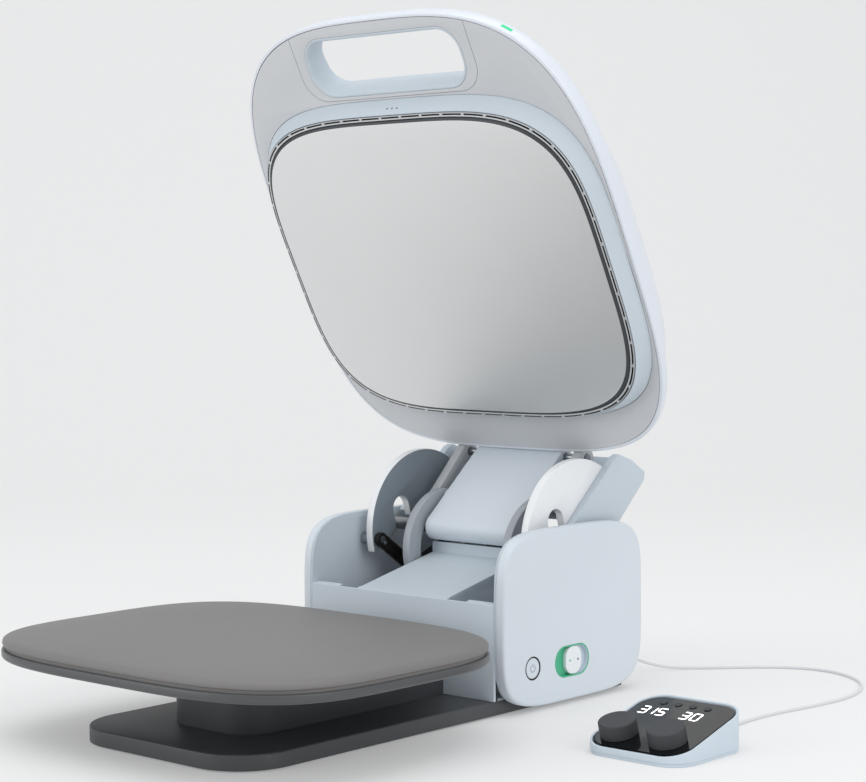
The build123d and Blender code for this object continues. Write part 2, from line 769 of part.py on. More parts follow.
def handle_outline(grow=0.0, mode=Mode.ADD):
    with Locations((0, handle_mid)):
        RectangleRounded(2 * (handle_half_x + grow), 2 * (handle_half_y + grow),
                         handle_corner + grow, mode=mode)


def arm_notches():
    """Tool for the slots in the lid's back edge that the lid arms come out of."""
    with BuildPart() as notches:
        with BuildSketch(LID.offset(-rim_depth - 2.5)):
            for side in (-1, 1):
                with Locations((side * (arm_inner + arm_outer) / 2, notch_v)):
                    Rectangle(arm_outer - arm_inner + 1.6, 40, align=(Align.CENTER, Align.MAX))
        extrude(amount=-44)
    return notches.part


def make_lid_shell():
    with BuildPart() as lid_shell:
        for depth, half_x, up, down in lid_levels:
            with BuildSketch(LID.offset(-depth)):
                lid_outline(half_x, up, down)
        loft(ruled=True)
    outer = Part(lid_shell.part.wrapped)
    with BuildPart() as hollow:
        for depth in (rim_depth - 1, rim_depth + rim_thick + clearance):
            with BuildSketch(LID.offset(-depth)):
                lid_outline(grow=-shell_wall)
        for depth, half_x, up, down in lid_levels[2:]:
            with BuildSketch(LID.offset(-depth + shell_wall)):
                lid_outline(half_x, up, down, -shell_wall)
        loft(ruled=True)
    notches = arm_notches()
    with lid_shell:
        add(hollow.part, mode=Mode.SUBTRACT)
        with BuildSketch(LID):
            handle_outline(handle_wall + seam)
        extrude(amount=-90, mode=Mode.SUBTRACT)
        add(notches, mode=Mode.SUBTRACT)
        with BuildSketch(light_plane()):
            Rectangle(light_long + seam, light_wide + seam)
        extrude(amount=20, both=True, mode=Mode.SUBTRACT)
    save(lid_shell, "lid_shell")
    with BuildPart() as handle_liner:
        with BuildSketch(LID.offset(-rim_depth)):
            handle_outline(handle_wall)
            handle_outline(mode=Mode.SUBTRACT)
        extrude(amount=-60)
        add(outer, mode=Mode.INTERSECT)
    save(handle_liner, "handle_liner")


def light_plane():
    """Plane of the status light: on the lid's edge, normal outwards."""
    share = 1 - (light_u / lid_half_x) ** lid_power_up
    v = lid_mid + lid_up * share ** (1 / lid_power_up)
    slope = -(lid_up / lid_half_x) * (light_u / lid_half_x) ** (lid_power_up - 1) \
        / share ** ((lid_power_up - 1) / lid_power_up)
    along = LID.x_dir + LID.y_dir * slope
    spot = LID.from_local_coords(Vector(light_u, v, -rim_depth - 6))
    return Plane(origin=spot, x_dir=along, z_dir=along.cross(LID.z_dir) * -1)


def make_lid_inside():
    with BuildPart() as status_light:
        with BuildSketch(light_plane().offset(light_proud)):
            Rectangle(light_long, light_wide)
        extrude(amount=-light_deep)
    save(status_light, "status_light")
    with BuildPart() as lid_rim:
        with BuildSketch(LID.offset(-rim_depth)):
            lid_outline(grow=-shell_wall - 0.4)
            with BuildSketch(LID.offset(-rim_depth), mode=Mode.PRIVATE) as window:
                bezel_outline()
            add(window.sketch_local, mode=Mode.SUBTRACT)
            handle_outline(handle_wall + seam, mode=Mode.SUBTRACT)
        extrude(amount=-rim_thick)
    save(lid_rim, "lid_rim")
    with BuildPart() as bezel_ring:
        with BuildSketch(LID.offset(-bezel_lip)):
            plate_outline(vent_wide + 2 * bezel_gap + 0.6)
        with BuildSketch(LID.offset(-rim_depth)):
            bezel_outline(-seam)
        loft(ruled=True)
        with BuildSketch(LID.offset(-rim_depth)):
            bezel_outline(-seam)
        extrude(amount=rim_depth - bezel_back)
        with BuildSketch(LID):
            plate_outline(vent_wide + 2 * bezel_gap)
        extrude(amount=-rim_depth - rim_thick, mode=Mode.SUBTRACT)
    save(bezel_ring, "bezel_ring")
    with BuildPart() as vent_ring:
        with BuildSketch(LID.offset(-vent_front)):
            plate_outline(vent_wide + bezel_gap)
        extrude(amount=vent_front - vent_back)
        with BuildSketch(LID):
            plate_outline(bezel_gap)
        extrude(amount=-plate_thick, mode=Mode.SUBTRACT)
    save(vent_ring, "vent_ring")
    with BuildPart() as heat_plate:
        with BuildSketch(LID):
            plate_outline(-plate_edge)
        with BuildSketch(LID.offset(-plate_edge / 2)):
            plate_outline(-plate_edge / 5)
        with BuildSketch(LID.offset(-plate_edge)):
            plate_outline()
        loft(ruled=True)
        with BuildSketch(LID.offset(-plate_edge)):
            plate_outline()
        extrude(amount=-plate_thick + plate_edge)
    save(heat_plate, "heat_plate")
    with BuildPart() as heating_element:
        with BuildSketch(LID.offset(-plate_thick)):
            plate_outline(-12)
        extrude(amount=-1.5)
    save(heating_element, "heating_element")
    with BuildPart() as insulation_pad:
        with BuildSketch(LID.offset(-plate_thick - 1.5)):
            plate_outline(-2)
        extrude(amount=-9)
    save(insulation_pad, "insulation_pad")
    with BuildPart() as heat_shield:
        with BuildSketch(LID.offset(-rim_depth - rim_thick)):
            plate_outline(1)
        extrude(amount=-1.2)
    save(heat_shield, "heat_shield")


def make_lid_arms():
    tab_low = rim_depth + rim_thick
    with BuildPart() as lid_arms:
        for start, width in both_sides(arm_inner, arm_outer):
            with BuildSketch(Plane.YZ.offset(start)):
                with Locations(lid_hinge):
                    Circle(arm_end_r)
                with Locations(rocker_top):
                    Circle(arm_tip_r)
                make_hull()
            extrude(amount=width)
        with BuildSketch(LID.offset(-tab_low)):
            for side in (-1, 1):
                with Locations((side * (arm_inner + arm_outer) / 2, hinge_v)):
                    Rectangle(arm_outer - arm_inner, 56, align=(Align.CENTER, Align.MIN))
        extrude(amount=-4.6)
        with BuildSketch(LID.offset(-tab_low)):
            for side in (-1, 1):
                with Locations((side * (arm_inner + arm_outer) / 2, hinge_v)):
                    Rectangle(arm_outer - arm_inner, 22, align=(Align.CENTER, Align.MIN))
        extrude(amount=-9)
        with BuildSketch(Plane.YZ.offset(-arm_outer)):
            with Locations(lid_hinge):
                Circle(hinge_pin_r + running_fit)
        extrude(amount=2 * arm_outer, mode=Mode.SUBTRACT)
    save(lid_arms, "lid_arms")


# ---------------------------------------------------------------- control pod

def pod_outline(grow=0.0):
    RectangleRounded(2 * (pod_half + grow), 2 * (pod_half + grow), pod_corner + grow)


def make_pod():
    floor = Plane.XY.move(Location((pod_x, pod_y, 0)))
    with BuildPart() as pod_base:
        with BuildSketch(floor):
            pod_outline(-0.6)
        extrude(amount=pod_base_thick)
    save(pod_base, "pod_base")
    with BuildPart() as pod_shell:
        with BuildSketch(floor.offset(pod_base_thick)):
            pod_outline()
        extrude(amount=60)
        with BuildSketch(floor.offset(pod_base_thick)):
            pod_outline(-pod_wall)
        extrude(amount=60, mode=Mode.SUBTRACT)
        with BuildSketch(POD):
            Rectangle(300, 300)
        extrude(amount=80, mode=Mode.SUBTRACT)
        with BuildSketch(POD):
            pod_outline(-pod_rim)
        extrude(amount=-glass_thick - seam, mode=Mode.SUBTRACT)
        with BuildSketch(Plane.XZ.offset(-pod_y - pod_half - 5)):
            with Locations((pod_x, cable_exit_z)):
                Circle(3.4)
        extrude(amount=15, mode=Mode.SUBTRACT)
    save(pod_shell, "pod_shell")
    with BuildPart() as pod_glass:
        with BuildSketch(POD.offset(-glass_thick)):
            pod_outline(-pod_rim - seam)
            with Locations(*[(x, pod_button_row) for x in button_spots]):
                Circle(pod_button_r + clearance, mode=Mode.SUBTRACT)
            with Locations(*knob_spots):
                Circle(knob_stem_r + clearance, mode=Mode.SUBTRACT)
        extrude(amount=glass_thick)
    save(pod_glass, "pod_glass")
    for number, x in enumerate(button_spots, 1):
        with BuildPart() as pod_button:
            with BuildSketch(POD.offset(-2.5)):
                with Locations((x, pod_button_row)):
                    Circle(pod_button_r)
            extrude(amount=3.2)
        save(pod_button, f"pod_button_{number}")
    for name, spot in zip(("left_knob", "right_knob"), knob_spots):
        with BuildPart() as knob:
            with BuildSketch(POD.offset(clearance)):
                with Locations(spot):
                    Circle(knob_r)
            extrude(amount=knob_height)
            fillet(knob.faces().sort_by(Axis.Z)[-1].edges(), 1.5)
            with BuildSketch(POD.offset(clearance)):
                with Locations(spot):
                    Circle(knob_stem_r)
            extrude(amount=-4)
        save(knob, name)
    with BuildPart() as pod_board:
        with BuildSketch(floor.offset(pod_base_thick)):
            with Locations((0, 14)):
                Rectangle(76, 52)
        extrude(amount=1.6)
    save(pod_board, "pod_board")
    back = pod_y + pod_half
    with BuildPart() as cable_grommet:
        with BuildSketch(Plane.XZ.offset(-back + 4)):
            with Locations((pod_x, cable_exit_z)):
                Circle(3.2)
        extrude(amount=-4 - grommet_long)
    save(cable_grommet, "cable_grommet")


# ---------------------------------------------------------------- control cable
plug_start = body_back - 5
cable_route = (
    (socket_x, plug_start + plug_long, socket_z), (socket_x, 427, socket_z), (71, 442, 20),
    (75, 456, 13.5), (83, 470, 7), (95, 486, 2.6), (112, 505, 1.6), (133, 526, 1.5),
    (157, 550, 1.5), (185, 570, 1.5), (216, 577, 1.5), (248, 567, 1.5), (276, 545, 1.5),
    (295, 513, 1.5), (304, 477, 1.5), (303, 440, 1.5), (297, 402, 1.5), (291, 366, 1.5),
    (290, 330, 1.5), (293, 301, 2.0), (298, 281, 6.0), (pod_x, 263, 12),
    (pod_x, pod_y + pod_half + grommet_long, 12),
)


def arc_radii(points):
    """Largest tangent arc at each inner point: 0.45 of the shorter run."""
    radii = []
    for before, here, after in zip(points, points[1:], points[2:]):
        run_in = Vector(*here) - Vector(*before)
        run_out = Vector(*after) - Vector(*here)
        turn = radians(run_in.get_angle(run_out))
        radii.append(0.45 * min(run_in.length, run_out.length) / tan(turn / 2))
    return radii


def make_cable():
    with BuildPart() as cable_plug:
        with BuildSketch(Plane.XZ.offset(-plug_start)):
            with Locations((socket_x, socket_z)):
                Circle(4.5)
        extrude(amount=-plug_long)
    save(cable_plug, "cable_plug")
    radii = arc_radii(cable_route)
    print("cable radii", [round(r, 1) for r in radii])
    with BuildPart() as control_cable:
        with BuildLine() as route:
            FilletPolyline(*cable_route, radius=radii)
        path = route.wires()[0]
        with BuildSketch(Plane(origin=path @ 0, z_dir=path % 0)):
            Circle(cable_r)
        sweep(path=path)
    expected = pi * cable_r ** 2 * path.length
    print("cable length", round(path.length, 1), "volume share", control_cable.part.volume / expected)
    save(control_cable, "control_cable")


# ---------------------------------------------------------------- build
os.makedirs("parts", exist_ok=True)
make_foot()
make_platen()
make_side_walls()
make_side_covers()
make_side_controls()
make_body_covers()
make_body_inside()
make_drive()
make_neck()
make_cheeks()
make_rockers()
make_lid_shell()
make_lid_inside()
make_lid_arms()
make_pod()
make_cable()
print("pivots", neck_pivot, lid_hinge, crank_centre, pinion_centre, drive_pin, rocker_pivot)
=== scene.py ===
"""Visual model of a clamshell heat press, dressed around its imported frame.

Sizes in the classes are millimetres; meshes are metres, in the frame's axes:
+X the operator's right, +Y the back of the press, +Z up.
"""

import json
import logging
import math
from dataclasses import dataclass
from enum import Enum
from typing import Iterable, Optional, Sequence

import bmesh
import bpy
from mathutils import Matrix, Vector

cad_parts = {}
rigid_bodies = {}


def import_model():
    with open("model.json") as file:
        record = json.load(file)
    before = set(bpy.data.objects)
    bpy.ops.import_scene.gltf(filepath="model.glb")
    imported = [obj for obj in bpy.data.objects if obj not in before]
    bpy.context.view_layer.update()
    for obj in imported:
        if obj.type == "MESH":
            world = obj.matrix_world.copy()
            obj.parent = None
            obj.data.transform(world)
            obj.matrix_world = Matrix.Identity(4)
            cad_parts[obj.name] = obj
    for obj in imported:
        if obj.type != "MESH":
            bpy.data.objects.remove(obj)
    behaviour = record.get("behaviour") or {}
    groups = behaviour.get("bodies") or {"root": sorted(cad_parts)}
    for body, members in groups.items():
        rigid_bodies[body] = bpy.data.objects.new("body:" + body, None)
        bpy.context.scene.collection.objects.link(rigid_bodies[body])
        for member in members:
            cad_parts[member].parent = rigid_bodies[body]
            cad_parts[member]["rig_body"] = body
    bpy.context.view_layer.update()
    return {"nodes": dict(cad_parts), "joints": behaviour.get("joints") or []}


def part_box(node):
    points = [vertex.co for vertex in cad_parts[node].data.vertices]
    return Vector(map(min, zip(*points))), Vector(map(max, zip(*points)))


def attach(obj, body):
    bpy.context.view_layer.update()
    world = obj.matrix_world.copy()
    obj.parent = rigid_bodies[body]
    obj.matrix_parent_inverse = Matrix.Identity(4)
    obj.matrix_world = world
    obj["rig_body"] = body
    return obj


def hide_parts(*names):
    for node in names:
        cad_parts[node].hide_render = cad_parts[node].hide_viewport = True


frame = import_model()

log = logging.getLogger("heat_press")
MM = 0.001
Ring = list[Vector]
Outline = list[tuple[float, float]]


# ------------------------------------------------------------------ materials
class Pattern(Enum):
    """How a surface was made, which decides its grain."""
    MOULDED = "fine spark texture of an injection mould"
    PAINTED = "powder coat or enamel with faint orange peel"
    BRUSHED = "parallel grinding lines"
    BLASTED = "bead blasted metal under a release coat"
    SPONGE = "skin of moulded silicone sponge"
    POLISHED = "smooth gloss"
    FELT = "matted fibre"


@dataclass(frozen=True)
class Finish:
    """One finish: what it is made of and what light does on it."""
    name: str
    colour: str
    pattern: Pattern
    roughness: float
    metallic: float = 0.0
    ior: float = 1.5
    coat: float = 0.0
    grain: float = 1.6
    relief: float = 0.10
    shade: float = 0.03
    glow: float = 0.0

    def material(self) -> bpy.types.Material:
        """Return this finish as a node material, made once.

        Returns:
            The material of that name.
        """
        found = bpy.data.materials.get(self.name)
        return found if found else self._build()

    def _build(self) -> bpy.types.Material:
        """Build the node tree: grain to bump and roughness, slow variation to colour.

        Returns:
            The new material.
        """
        material = bpy.data.materials.new(self.name)
        material.use_nodes = True
        tree = material.node_tree
        tree.nodes.clear()
        base = linear(self.colour)
        place = add_node(tree, "ShaderNodeTexCoord")
        stretch = {Pattern.BRUSHED: (0.03, 1.0, 1.0), Pattern.FELT: (1.0, 0.3, 1.0)}.get(
            self.pattern, (1.0, 1.0, 1.0))
        spread = add_node(tree, "ShaderNodeMapping", values={"Scale": stretch},
                          links={"Vector": place.outputs["Object"]})
        grain = add_node(tree, "ShaderNodeTexNoise",
                         values={"Scale": 1000.0 / self.grain, "Detail": 3.0, "Roughness": 0.6},
                         links={"Vector": spread.outputs["Vector"]})
        drift = add_node(tree, "ShaderNodeTexNoise", values={"Scale": 9.0, "Detail": 2.0},
                         links={"Vector": place.outputs["Object"]})
        tint = add_node(tree, "ShaderNodeMix", settings={"data_type": "RGBA"},
                        links={0: drift.outputs["Fac"]})
        tint.inputs[6].default_value = (*[c * (1 - self.shade) for c in base[:3]], 1.0)
        tint.inputs[7].default_value = (*[min(1.0, c * (1 + self.shade)) for c in base[:3]], 1.0)
        sheen = add_node(tree, "ShaderNodeMapRange",
                         values={"To Min": max(0.02, self.roughness - 0.05),
                                 "To Max": min(1.0, self.roughness + 0.05)},
                         links={"Value": grain.outputs["Fac"]})
        relief = add_node(tree, "ShaderNodeBump",
                          values={"Strength": self.relief, "Distance": self.grain * MM * 0.3},
                          links={"Height": grain.outputs["Fac"]})
        shader = add_node(tree, "ShaderNodeBsdfPrincipled",
                          values={"Metallic": self.metallic, "IOR": self.ior,
                                  "Coat Weight": self.coat, "Coat Roughness": 0.06},
                          links={"Roughness": sheen.outputs["Result"],
                                 "Normal": relief.outputs["Normal"]})
        if self.shade:
            tree.links.new(tint.outputs[2], shader.inputs["Base Color"])
        else:
            shader.inputs["Base Color"].default_value = base
        if self.glow:
            shader.inputs["Emission Color"].default_value = base
            shader.inputs["Emission Strength"].default_value = self.glow
        add_node(tree, "ShaderNodeOutputMaterial", links={"Surface": shader.outputs["BSDF"]})
        return material


def linear(colour: str) -> tuple[float, float, float, float]:
    """Turn an sRGB hex colour into linear values.

    Args:
        colour: Six hex digits with a leading hash.

    Returns:
        Red, green, blue and an alpha of one.
    """
    parts = [int(colour[i:i + 2], 16) / 255 for i in (1, 3, 5)]
    return (*[c / 12.92 if c <= 0.04045 else ((c + 0.055) / 1.055) ** 2.4 for c in parts], 1.0)


def add_node(tree: bpy.types.NodeTree, kind: str, settings: Optional[dict] = None,
             values: Optional[dict] = None, links: Optional[dict] = None) -> bpy.types.Node:
    """Add one node with its settings, socket values and incoming links.

    Args:
        tree: The node tree.
        kind: The node's type name.
        settings: Node properties.
        values: Input socket values by name or index.
        links: Output sockets to plug into inputs, by name or index.

    Returns:
        The node.
    """
    node = tree.nodes.new(kind)
    for key, value in (settings or {}).items():
        setattr(node, key, value)
    for socket, value in (values or {}).items():
        node.inputs[socket].default_value = value
    for socket, source in (links or {}).items():
        tree.links.new(source, node.inputs[socket])
    return node


# ABS mouldings in pale blue grey: satin, with a fine spark grain.
BODY_ABS = Finish("satin_blue_grey_abs", "#D4DCE3", Pattern.MOULDED, 0.42, grain=2.0, relief=0.05)
LINER_ABS = Finish("matte_blue_grey_abs", "#C3CDD5", Pattern.MOULDED, 0.55, grain=2.0, relief=0.07)
POD_ABS = Finish("pod_blue_grey_abs", "#C8D4DE", Pattern.MOULDED, 0.5, grain=1.6, relief=0.06)
GREY_ABS = Finish("light_grey_abs", "#C9CBCE", Pattern.MOULDED, 0.5, grain=1.8, relief=0.05)
# Black ABS for the real black parts; the same finish is also painted shade behind the vent slots.
BLACK_ABS_AND_SLOT_SHADE = Finish("black_abs_and_slot_shade", "#1B1C1E", Pattern.MOULDED, 0.45, grain=1.4, relief=0.1)
KNOB_ABS = Finish("charcoal_soft_touch_abs", "#3C3E41", Pattern.MOULDED, 0.62, grain=1.2, relief=0.12)
WHITE_ABS = Finish("white_abs", "#E8ECEF", Pattern.MOULDED, 0.4, grain=1.6, relief=0.04)
# Lacquered polycarbonate: a clear coat gives sharp, soft-edged highlights.
SHELL_PC = Finish("white_gloss_polycarbonate", "#DCE1E9", Pattern.POLISHED, 0.34, ior=1.5,
                  coat=0.25, grain=6.0, relief=0.0, shade=0.01)
BLACK_PMMA = Finish("black_acrylic_window", "#060708", Pattern.POLISHED, 0.08, ior=1.49,
                    coat=0.3, grain=6.0, relief=0.01)
GREEN_PC = Finish("green_polycarbonate", "#3FB489", Pattern.POLISHED, 0.3, ior=1.58, grain=3.0,
                  relief=0.02)
GREEN_GLOW = Finish("green_light_lens", "#19A974", Pattern.POLISHED, 0.3, glow=0.9, relief=0.02)
DIGIT_GLOW = Finish("white_display_segments", "#FFFFFF", Pattern.POLISHED, 0.4, glow=2.6, relief=0.0)
ICON_INK = Finish("grey_printing_ink", "#5A6168", Pattern.PAINTED, 0.5, relief=0.02)
# Cast iron and steel under a dark powder coat: low sheen, visible peel.
POWDER = Finish("charcoal_powder_coat", "#45474A", Pattern.PAINTED, 0.48, grain=1.6, relief=0.16)
TRAY_ENAMEL = Finish("charcoal_satin_enamel", "#4A4C4E", Pattern.PAINTED, 0.36, grain=2.4, relief=0.06)
# Silicone sponge: the moulded skin is matt, with sheen at a low angle.
SPONGE = Finish("silicone_sponge", "#787675", Pattern.SPONGE, 0.52, ior=1.43, grain=2.2,
                relief=0.22, shade=0.05)
SOLE = Finish("moulded_nitrile_rubber", "#1E1E20", Pattern.SPONGE, 0.8, grain=2.4, relief=0.2)
# Aluminium heat plate: blasted, then coated, so the reflection is broad.
PLATE = Finish("blasted_aluminium", "#E3E4E4", Pattern.BLASTED, 0.5, metallic=1.0, grain=1.4,
               relief=0.05, shade=0.02)
# Painted shade on the heat plate's rolled edge and side: a dark colour stands in for the shade along the
# edge.
PLATE_EDGE_SHADE = Finish("painted_shade_plate_edge", "#4A4D50", Pattern.BLASTED, 0.5, metallic=0.7, relief=0.05)
# Pressed steel frame round the plate: satin; the black behind its slots is painted shade.
VENT_STEEL = Finish("satin_vent_frame", "#CDCFD1", Pattern.PAINTED, 0.35, metallic=0.4, relief=0.04)
STEEL = Finish("turned_steel", "#9B9EA1", Pattern.BRUSHED, 0.3, metallic=1.0, grain=2.0, relief=0.08)
ZINC = Finish("zinc_plated_sheet", "#A6ABAD", Pattern.BRUSHED, 0.42, metallic=1.0, grain=4.0,
              relief=0.06)
BRONZE = Finish("sintered_bronze", "#A4793F", Pattern.BLASTED, 0.45, metallic=1.0, relief=0.12)
CHEEK_WHITE = Finish("white_enamel_on_steel", "#EDEFF1", Pattern.PAINTED, 0.3, grain=3.0, relief=0.03)
# Painted shade: a grey copy of the cheek enamel for the faces towards the neck.
CHEEK_SHADE = Finish("painted_shade_on_cheek_enamel", "#7E8890", Pattern.PAINTED, 0.4, grain=3.0, relief=0.05)
ROCKER_GREY = Finish("grey_enamel_casting", "#A3A9AF", Pattern.PAINTED, 0.38, grain=2.4, relief=0.08)
ARM_GREY = Finish("light_grey_enamel_casting", "#B9BCC0", Pattern.PAINTED, 0.38, grain=2.4,
                  relief=0.08)
LINK_BLACK = Finish("blackened_steel", "#25211F", Pattern.PAINTED, 0.4, metallic=0.6, relief=0.1)
BOARD = Finish("green_solder_mask", "#1E5B38", Pattern.POLISHED, 0.4, relief=0.05)
MICA = Finish("mica_sheet", "#8C7450", Pattern.FELT, 0.5, relief=0.1)
CERAMIC_FELT = Finish("ceramic_fibre_felt", "#D8D2C4", Pattern.FELT, 0.9, relief=0.3)
CABLE_PVC = Finish("light_grey_pvc", "#D9DBDD", Pattern.MOULDED, 0.45, grain=1.0, relief=0.06)
FLOOR = Finish("studio_paper", "#C9C9C9", Pattern.MOULDED, 0.9, grain=8.0, relief=0.0, shade=0.0,
               glow=0.42)

NODE_FINISHES: dict[Finish, tuple[str, ...]] = {
    POWDER: ("foot_plate", "platen_column"),
    TRAY_ENAMEL: ("platen_tray",),
    SOLE: ("rubber_sole",),
    SPONGE: ("pressing_mat",),
    STEEL: ("tray_bolts", "main_shaft", "rocker_pins", "crank_shaft", "drive_gear",
            "lid_hinge_pin", "link_pins"),
    ZINC: ("side_frames", "base_chassis", "bearing_plates", "neck_frame", "heat_shield"),
    BRONZE: ("shaft_bushes", "motor_pinion"),
    BODY_ABS: ("left_side_cover", "right_side_cover", "rear_cover", "neck_front_cover",
               "power_button"),
    LINER_ABS: ("side_liners", "deck_cover", "handle_liner", "bezel_ring", "neck_rear_cover"),
    WHITE_ABS: ("lock_slider",),
    BLACK_ABS_AND_SLOT_SHADE: ("power_button_ring", "gear_motor", "mains_inlet", "cable_socket"),
    VENT_STEEL: ("vent_ring",),
    GREEN_PC: ("switch_recess",),
    GREEN_GLOW: ("status_light",),
    BOARD: ("power_board", "pod_board"),
    POD_ABS: ("pod_shell", "pod_base"),
    KNOB_ABS: ("left_knob", "right_knob", "pod_button_1", "pod_button_2",
               "pod_button_3", "pod_button_4"),
    BLACK_PMMA: ("pod_glass",),
    CABLE_PVC: ("cable_grommet", "cable_plug", "control_cable"),
    LINK_BLACK: ("drive_links",),
    CHEEK_WHITE: ("cheek_plates",),
    ROCKER_GREY: ("rocker_arms",),
    ARM_GREY: ("lid_arms",),
    SHELL_PC: ("lid_shell",),
    GREY_ABS: ("lid_rim",),
    PLATE: ("heat_plate",),
    MICA: ("heating_element",),
    CERAMIC_FELT: ("insulation_pad",),
}


# ------------------------------------------------------------------ mesh helpers
def superellipse(half_x: float, up: float, down: float, power_up: float, power_down: float,
                 mid: float = 0.0, steps: int = 120) -> Outline:
    """Points of a rounded-square outline, counter-clockwise.

    Args:
        half_x: Half width.
        up: Reach above the widest line.
        down: Reach below it.
        power_up: Superellipse power of the upper half.
        power_down: Superellipse power of the lower half.
        mid: Height of the widest line.
        steps: Number of points.

    Returns:
        The outline in its own plane.
    """
    points: Outline = []
    for step in range(steps):
        turn = 2 * math.pi * step / steps
        upper = math.sin(turn) >= 0
        power, reach = (power_up, up) if upper else (power_down, down)
        x = math.copysign(abs(math.cos(turn)) ** (2 / power), math.cos(turn))
        y = math.copysign(abs(math.sin(turn)) ** (2 / power), math.sin(turn))
        points.append((half_x * x, mid + reach * y))
    return points


def evenly(points: Outline, count: int) -> Outline:
    """Space points evenly along a closed outline.

    Args:
        points: The outline.
        count: How many points to return.

    Returns:
        The respaced outline.
    """
    closed = [*points, points[0]]
    legs = [math.dist(a, b) for a, b in zip(closed, closed[1:])]
    out, leg, before = [], 0, 0.0
    for index in range(count):
        wanted = sum(legs) * index / count
        while before + legs[leg] < wanted:
            before += legs[leg]
            leg += 1
        share = (wanted - before) / legs[leg]
        a, b = closed[leg], closed[leg + 1]
        out.append((a[0] + (b[0] - a[0]) * share, a[1] + (b[1] - a[1]) * share))
    return out


def rounded_rect(half_x: float, half_y: float, corner: float, mid_x: float = 0.0,
                 mid_y: float = 0.0, steps: int = 10) -> Outline:
    """Points of a rectangle with round corners, counter-clockwise.

    Args:
        half_x: Half width.
        half_y: Half height.
        corner: Corner radius.
        mid_x: Centre.
        mid_y: Centre.
        steps: Segments in each corner.

    Returns:
        The outline.
    """
    points: Outline = []
    for quarter, (sx, sy) in enumerate(((1, 1), (-1, 1), (-1, -1), (1, -1))):
        for step in range(steps + 1):
            turn = math.pi / 2 * (quarter + step / steps)
            points.append((mid_x + sx * (half_x - corner) + corner * math.cos(turn),
                           mid_y + sy * (half_y - corner) + corner * math.sin(turn)))
    return points


def grown(points: Outline, amount: float) -> Outline:
    """Move a counter-clockwise outline outwards.

    Args:
        points: The outline.
        amount: Distance, negative for inwards.

    Returns:
        The moved outline.
    """
    out: Outline = []
    count = len(points)
    for index, (x, y) in enumerate(points):
        ax, ay = points[index - 1]
        bx, by = points[(index + 1) % count]
        dx, dy = bx - ax, by - ay
        size = math.hypot(dx, dy) or 1.0
        out.append((x + amount * dy / size, y - amount * dx / size))
    return out


def tidy(mesh: bpy.types.Mesh, sharp: float = 35.0) -> bpy.types.Mesh:
    """Smooth shading with sharp edges past an angle.

    Args:
        mesh: The mesh.
        sharp: Angle in degrees.

    Returns:
        The same mesh.
    """
    mesh.polygons.foreach_set("use_smooth", [True] * len(mesh.polygons))
    mesh.set_sharp_from_angle(angle=math.radians(sharp))
    mesh.update()
    return mesh


def new_piece(name: str, verts: Sequence[Vector], faces: Sequence[Sequence[int]],
              sharp: float = 35.0) -> bpy.types.Object:
    """Make a mesh object with outward normals.

    Args:
        name: Object name.
        verts: Vertices in metres.
        faces: Vertex indices.
        sharp: Angle past which edges stay crisp, in degrees.

    Returns:
        The object, linked to the scene.
    """
    mesh = bpy.data.meshes.new(name)
    mesh.from_pydata([tuple(v) for v in verts], [], [tuple(f) for f in faces])
    work = bmesh.new()
    work.from_mesh(mesh)
    bmesh.ops.remove_doubles(work, verts=work.verts, dist=1e-6)
    bmesh.ops.recalc_face_normals(work, faces=work.faces)
    work.to_mesh(mesh)
    work.free()
    piece = bpy.data.objects.new(name, tidy(mesh, sharp))
    bpy.context.scene.collection.objects.link(piece)
    return piece


def loft(name: str, rings: Sequence[Ring], closed: bool = False,
         sharp: float = 35.0) -> bpy.types.Object:
    """Skin a run of rings that have the same number of points.

    Args:
        name: Object name.
        rings: The rings.
        closed: True joins the last ring to the first, as for a torus; False caps both ends.
        sharp: Angle past which edges stay crisp, in degrees.

    Returns:
        The object.
    """
    count = len(rings[0])
    verts = [point for ring in rings for point in ring]
    last = len(rings) if closed else len(rings) - 1
    faces = [((k * count + i), (k * count + (i + 1) % count),
              (((k + 1) % len(rings)) * count + (i + 1) % count),
              (((k + 1) % len(rings)) * count + i))
             for k in range(last) for i in range(count)]
    if not closed:
        faces.append(tuple(range(count)))
        faces.append(tuple((len(rings) - 1) * count + i for i in range(count)))
    return new_piece(name, verts, faces, sharp)


def settled(piece: bpy.types.Object, sharp: float = 35.0) -> bpy.types.Object:
    """Apply a piece's modifiers to its mesh.

    Args:
        piece: The object.
        sharp: Angle past which edges stay crisp, in degrees.

    Returns:
        The same object with a plain mesh.
    """
    bpy.context.view_layer.update()
    graph = bpy.context.evaluated_depsgraph_get()
    made = bpy.data.meshes.new_from_object(piece.evaluated_get(graph))
    piece.modifiers.clear()
    piece.data = tidy(made, sharp)
    return piece


def combine(piece: bpy.types.Object, tool: bpy.types.Object, how: str) -> bpy.types.Object:
    """Cut or trim a piece with another, which is used up.

    Args:
        piece: The object to change.
        tool: The other closed object.
        how: DIFFERENCE, INTERSECT or UNION.

    Returns:
        The changed piece.
    """
    step = piece.modifiers.new("shape", "BOOLEAN")
    step.operation, step.object, step.solver = how, tool, "EXACT"
    settled(piece)
    bpy.data.objects.remove(tool)
    return piece


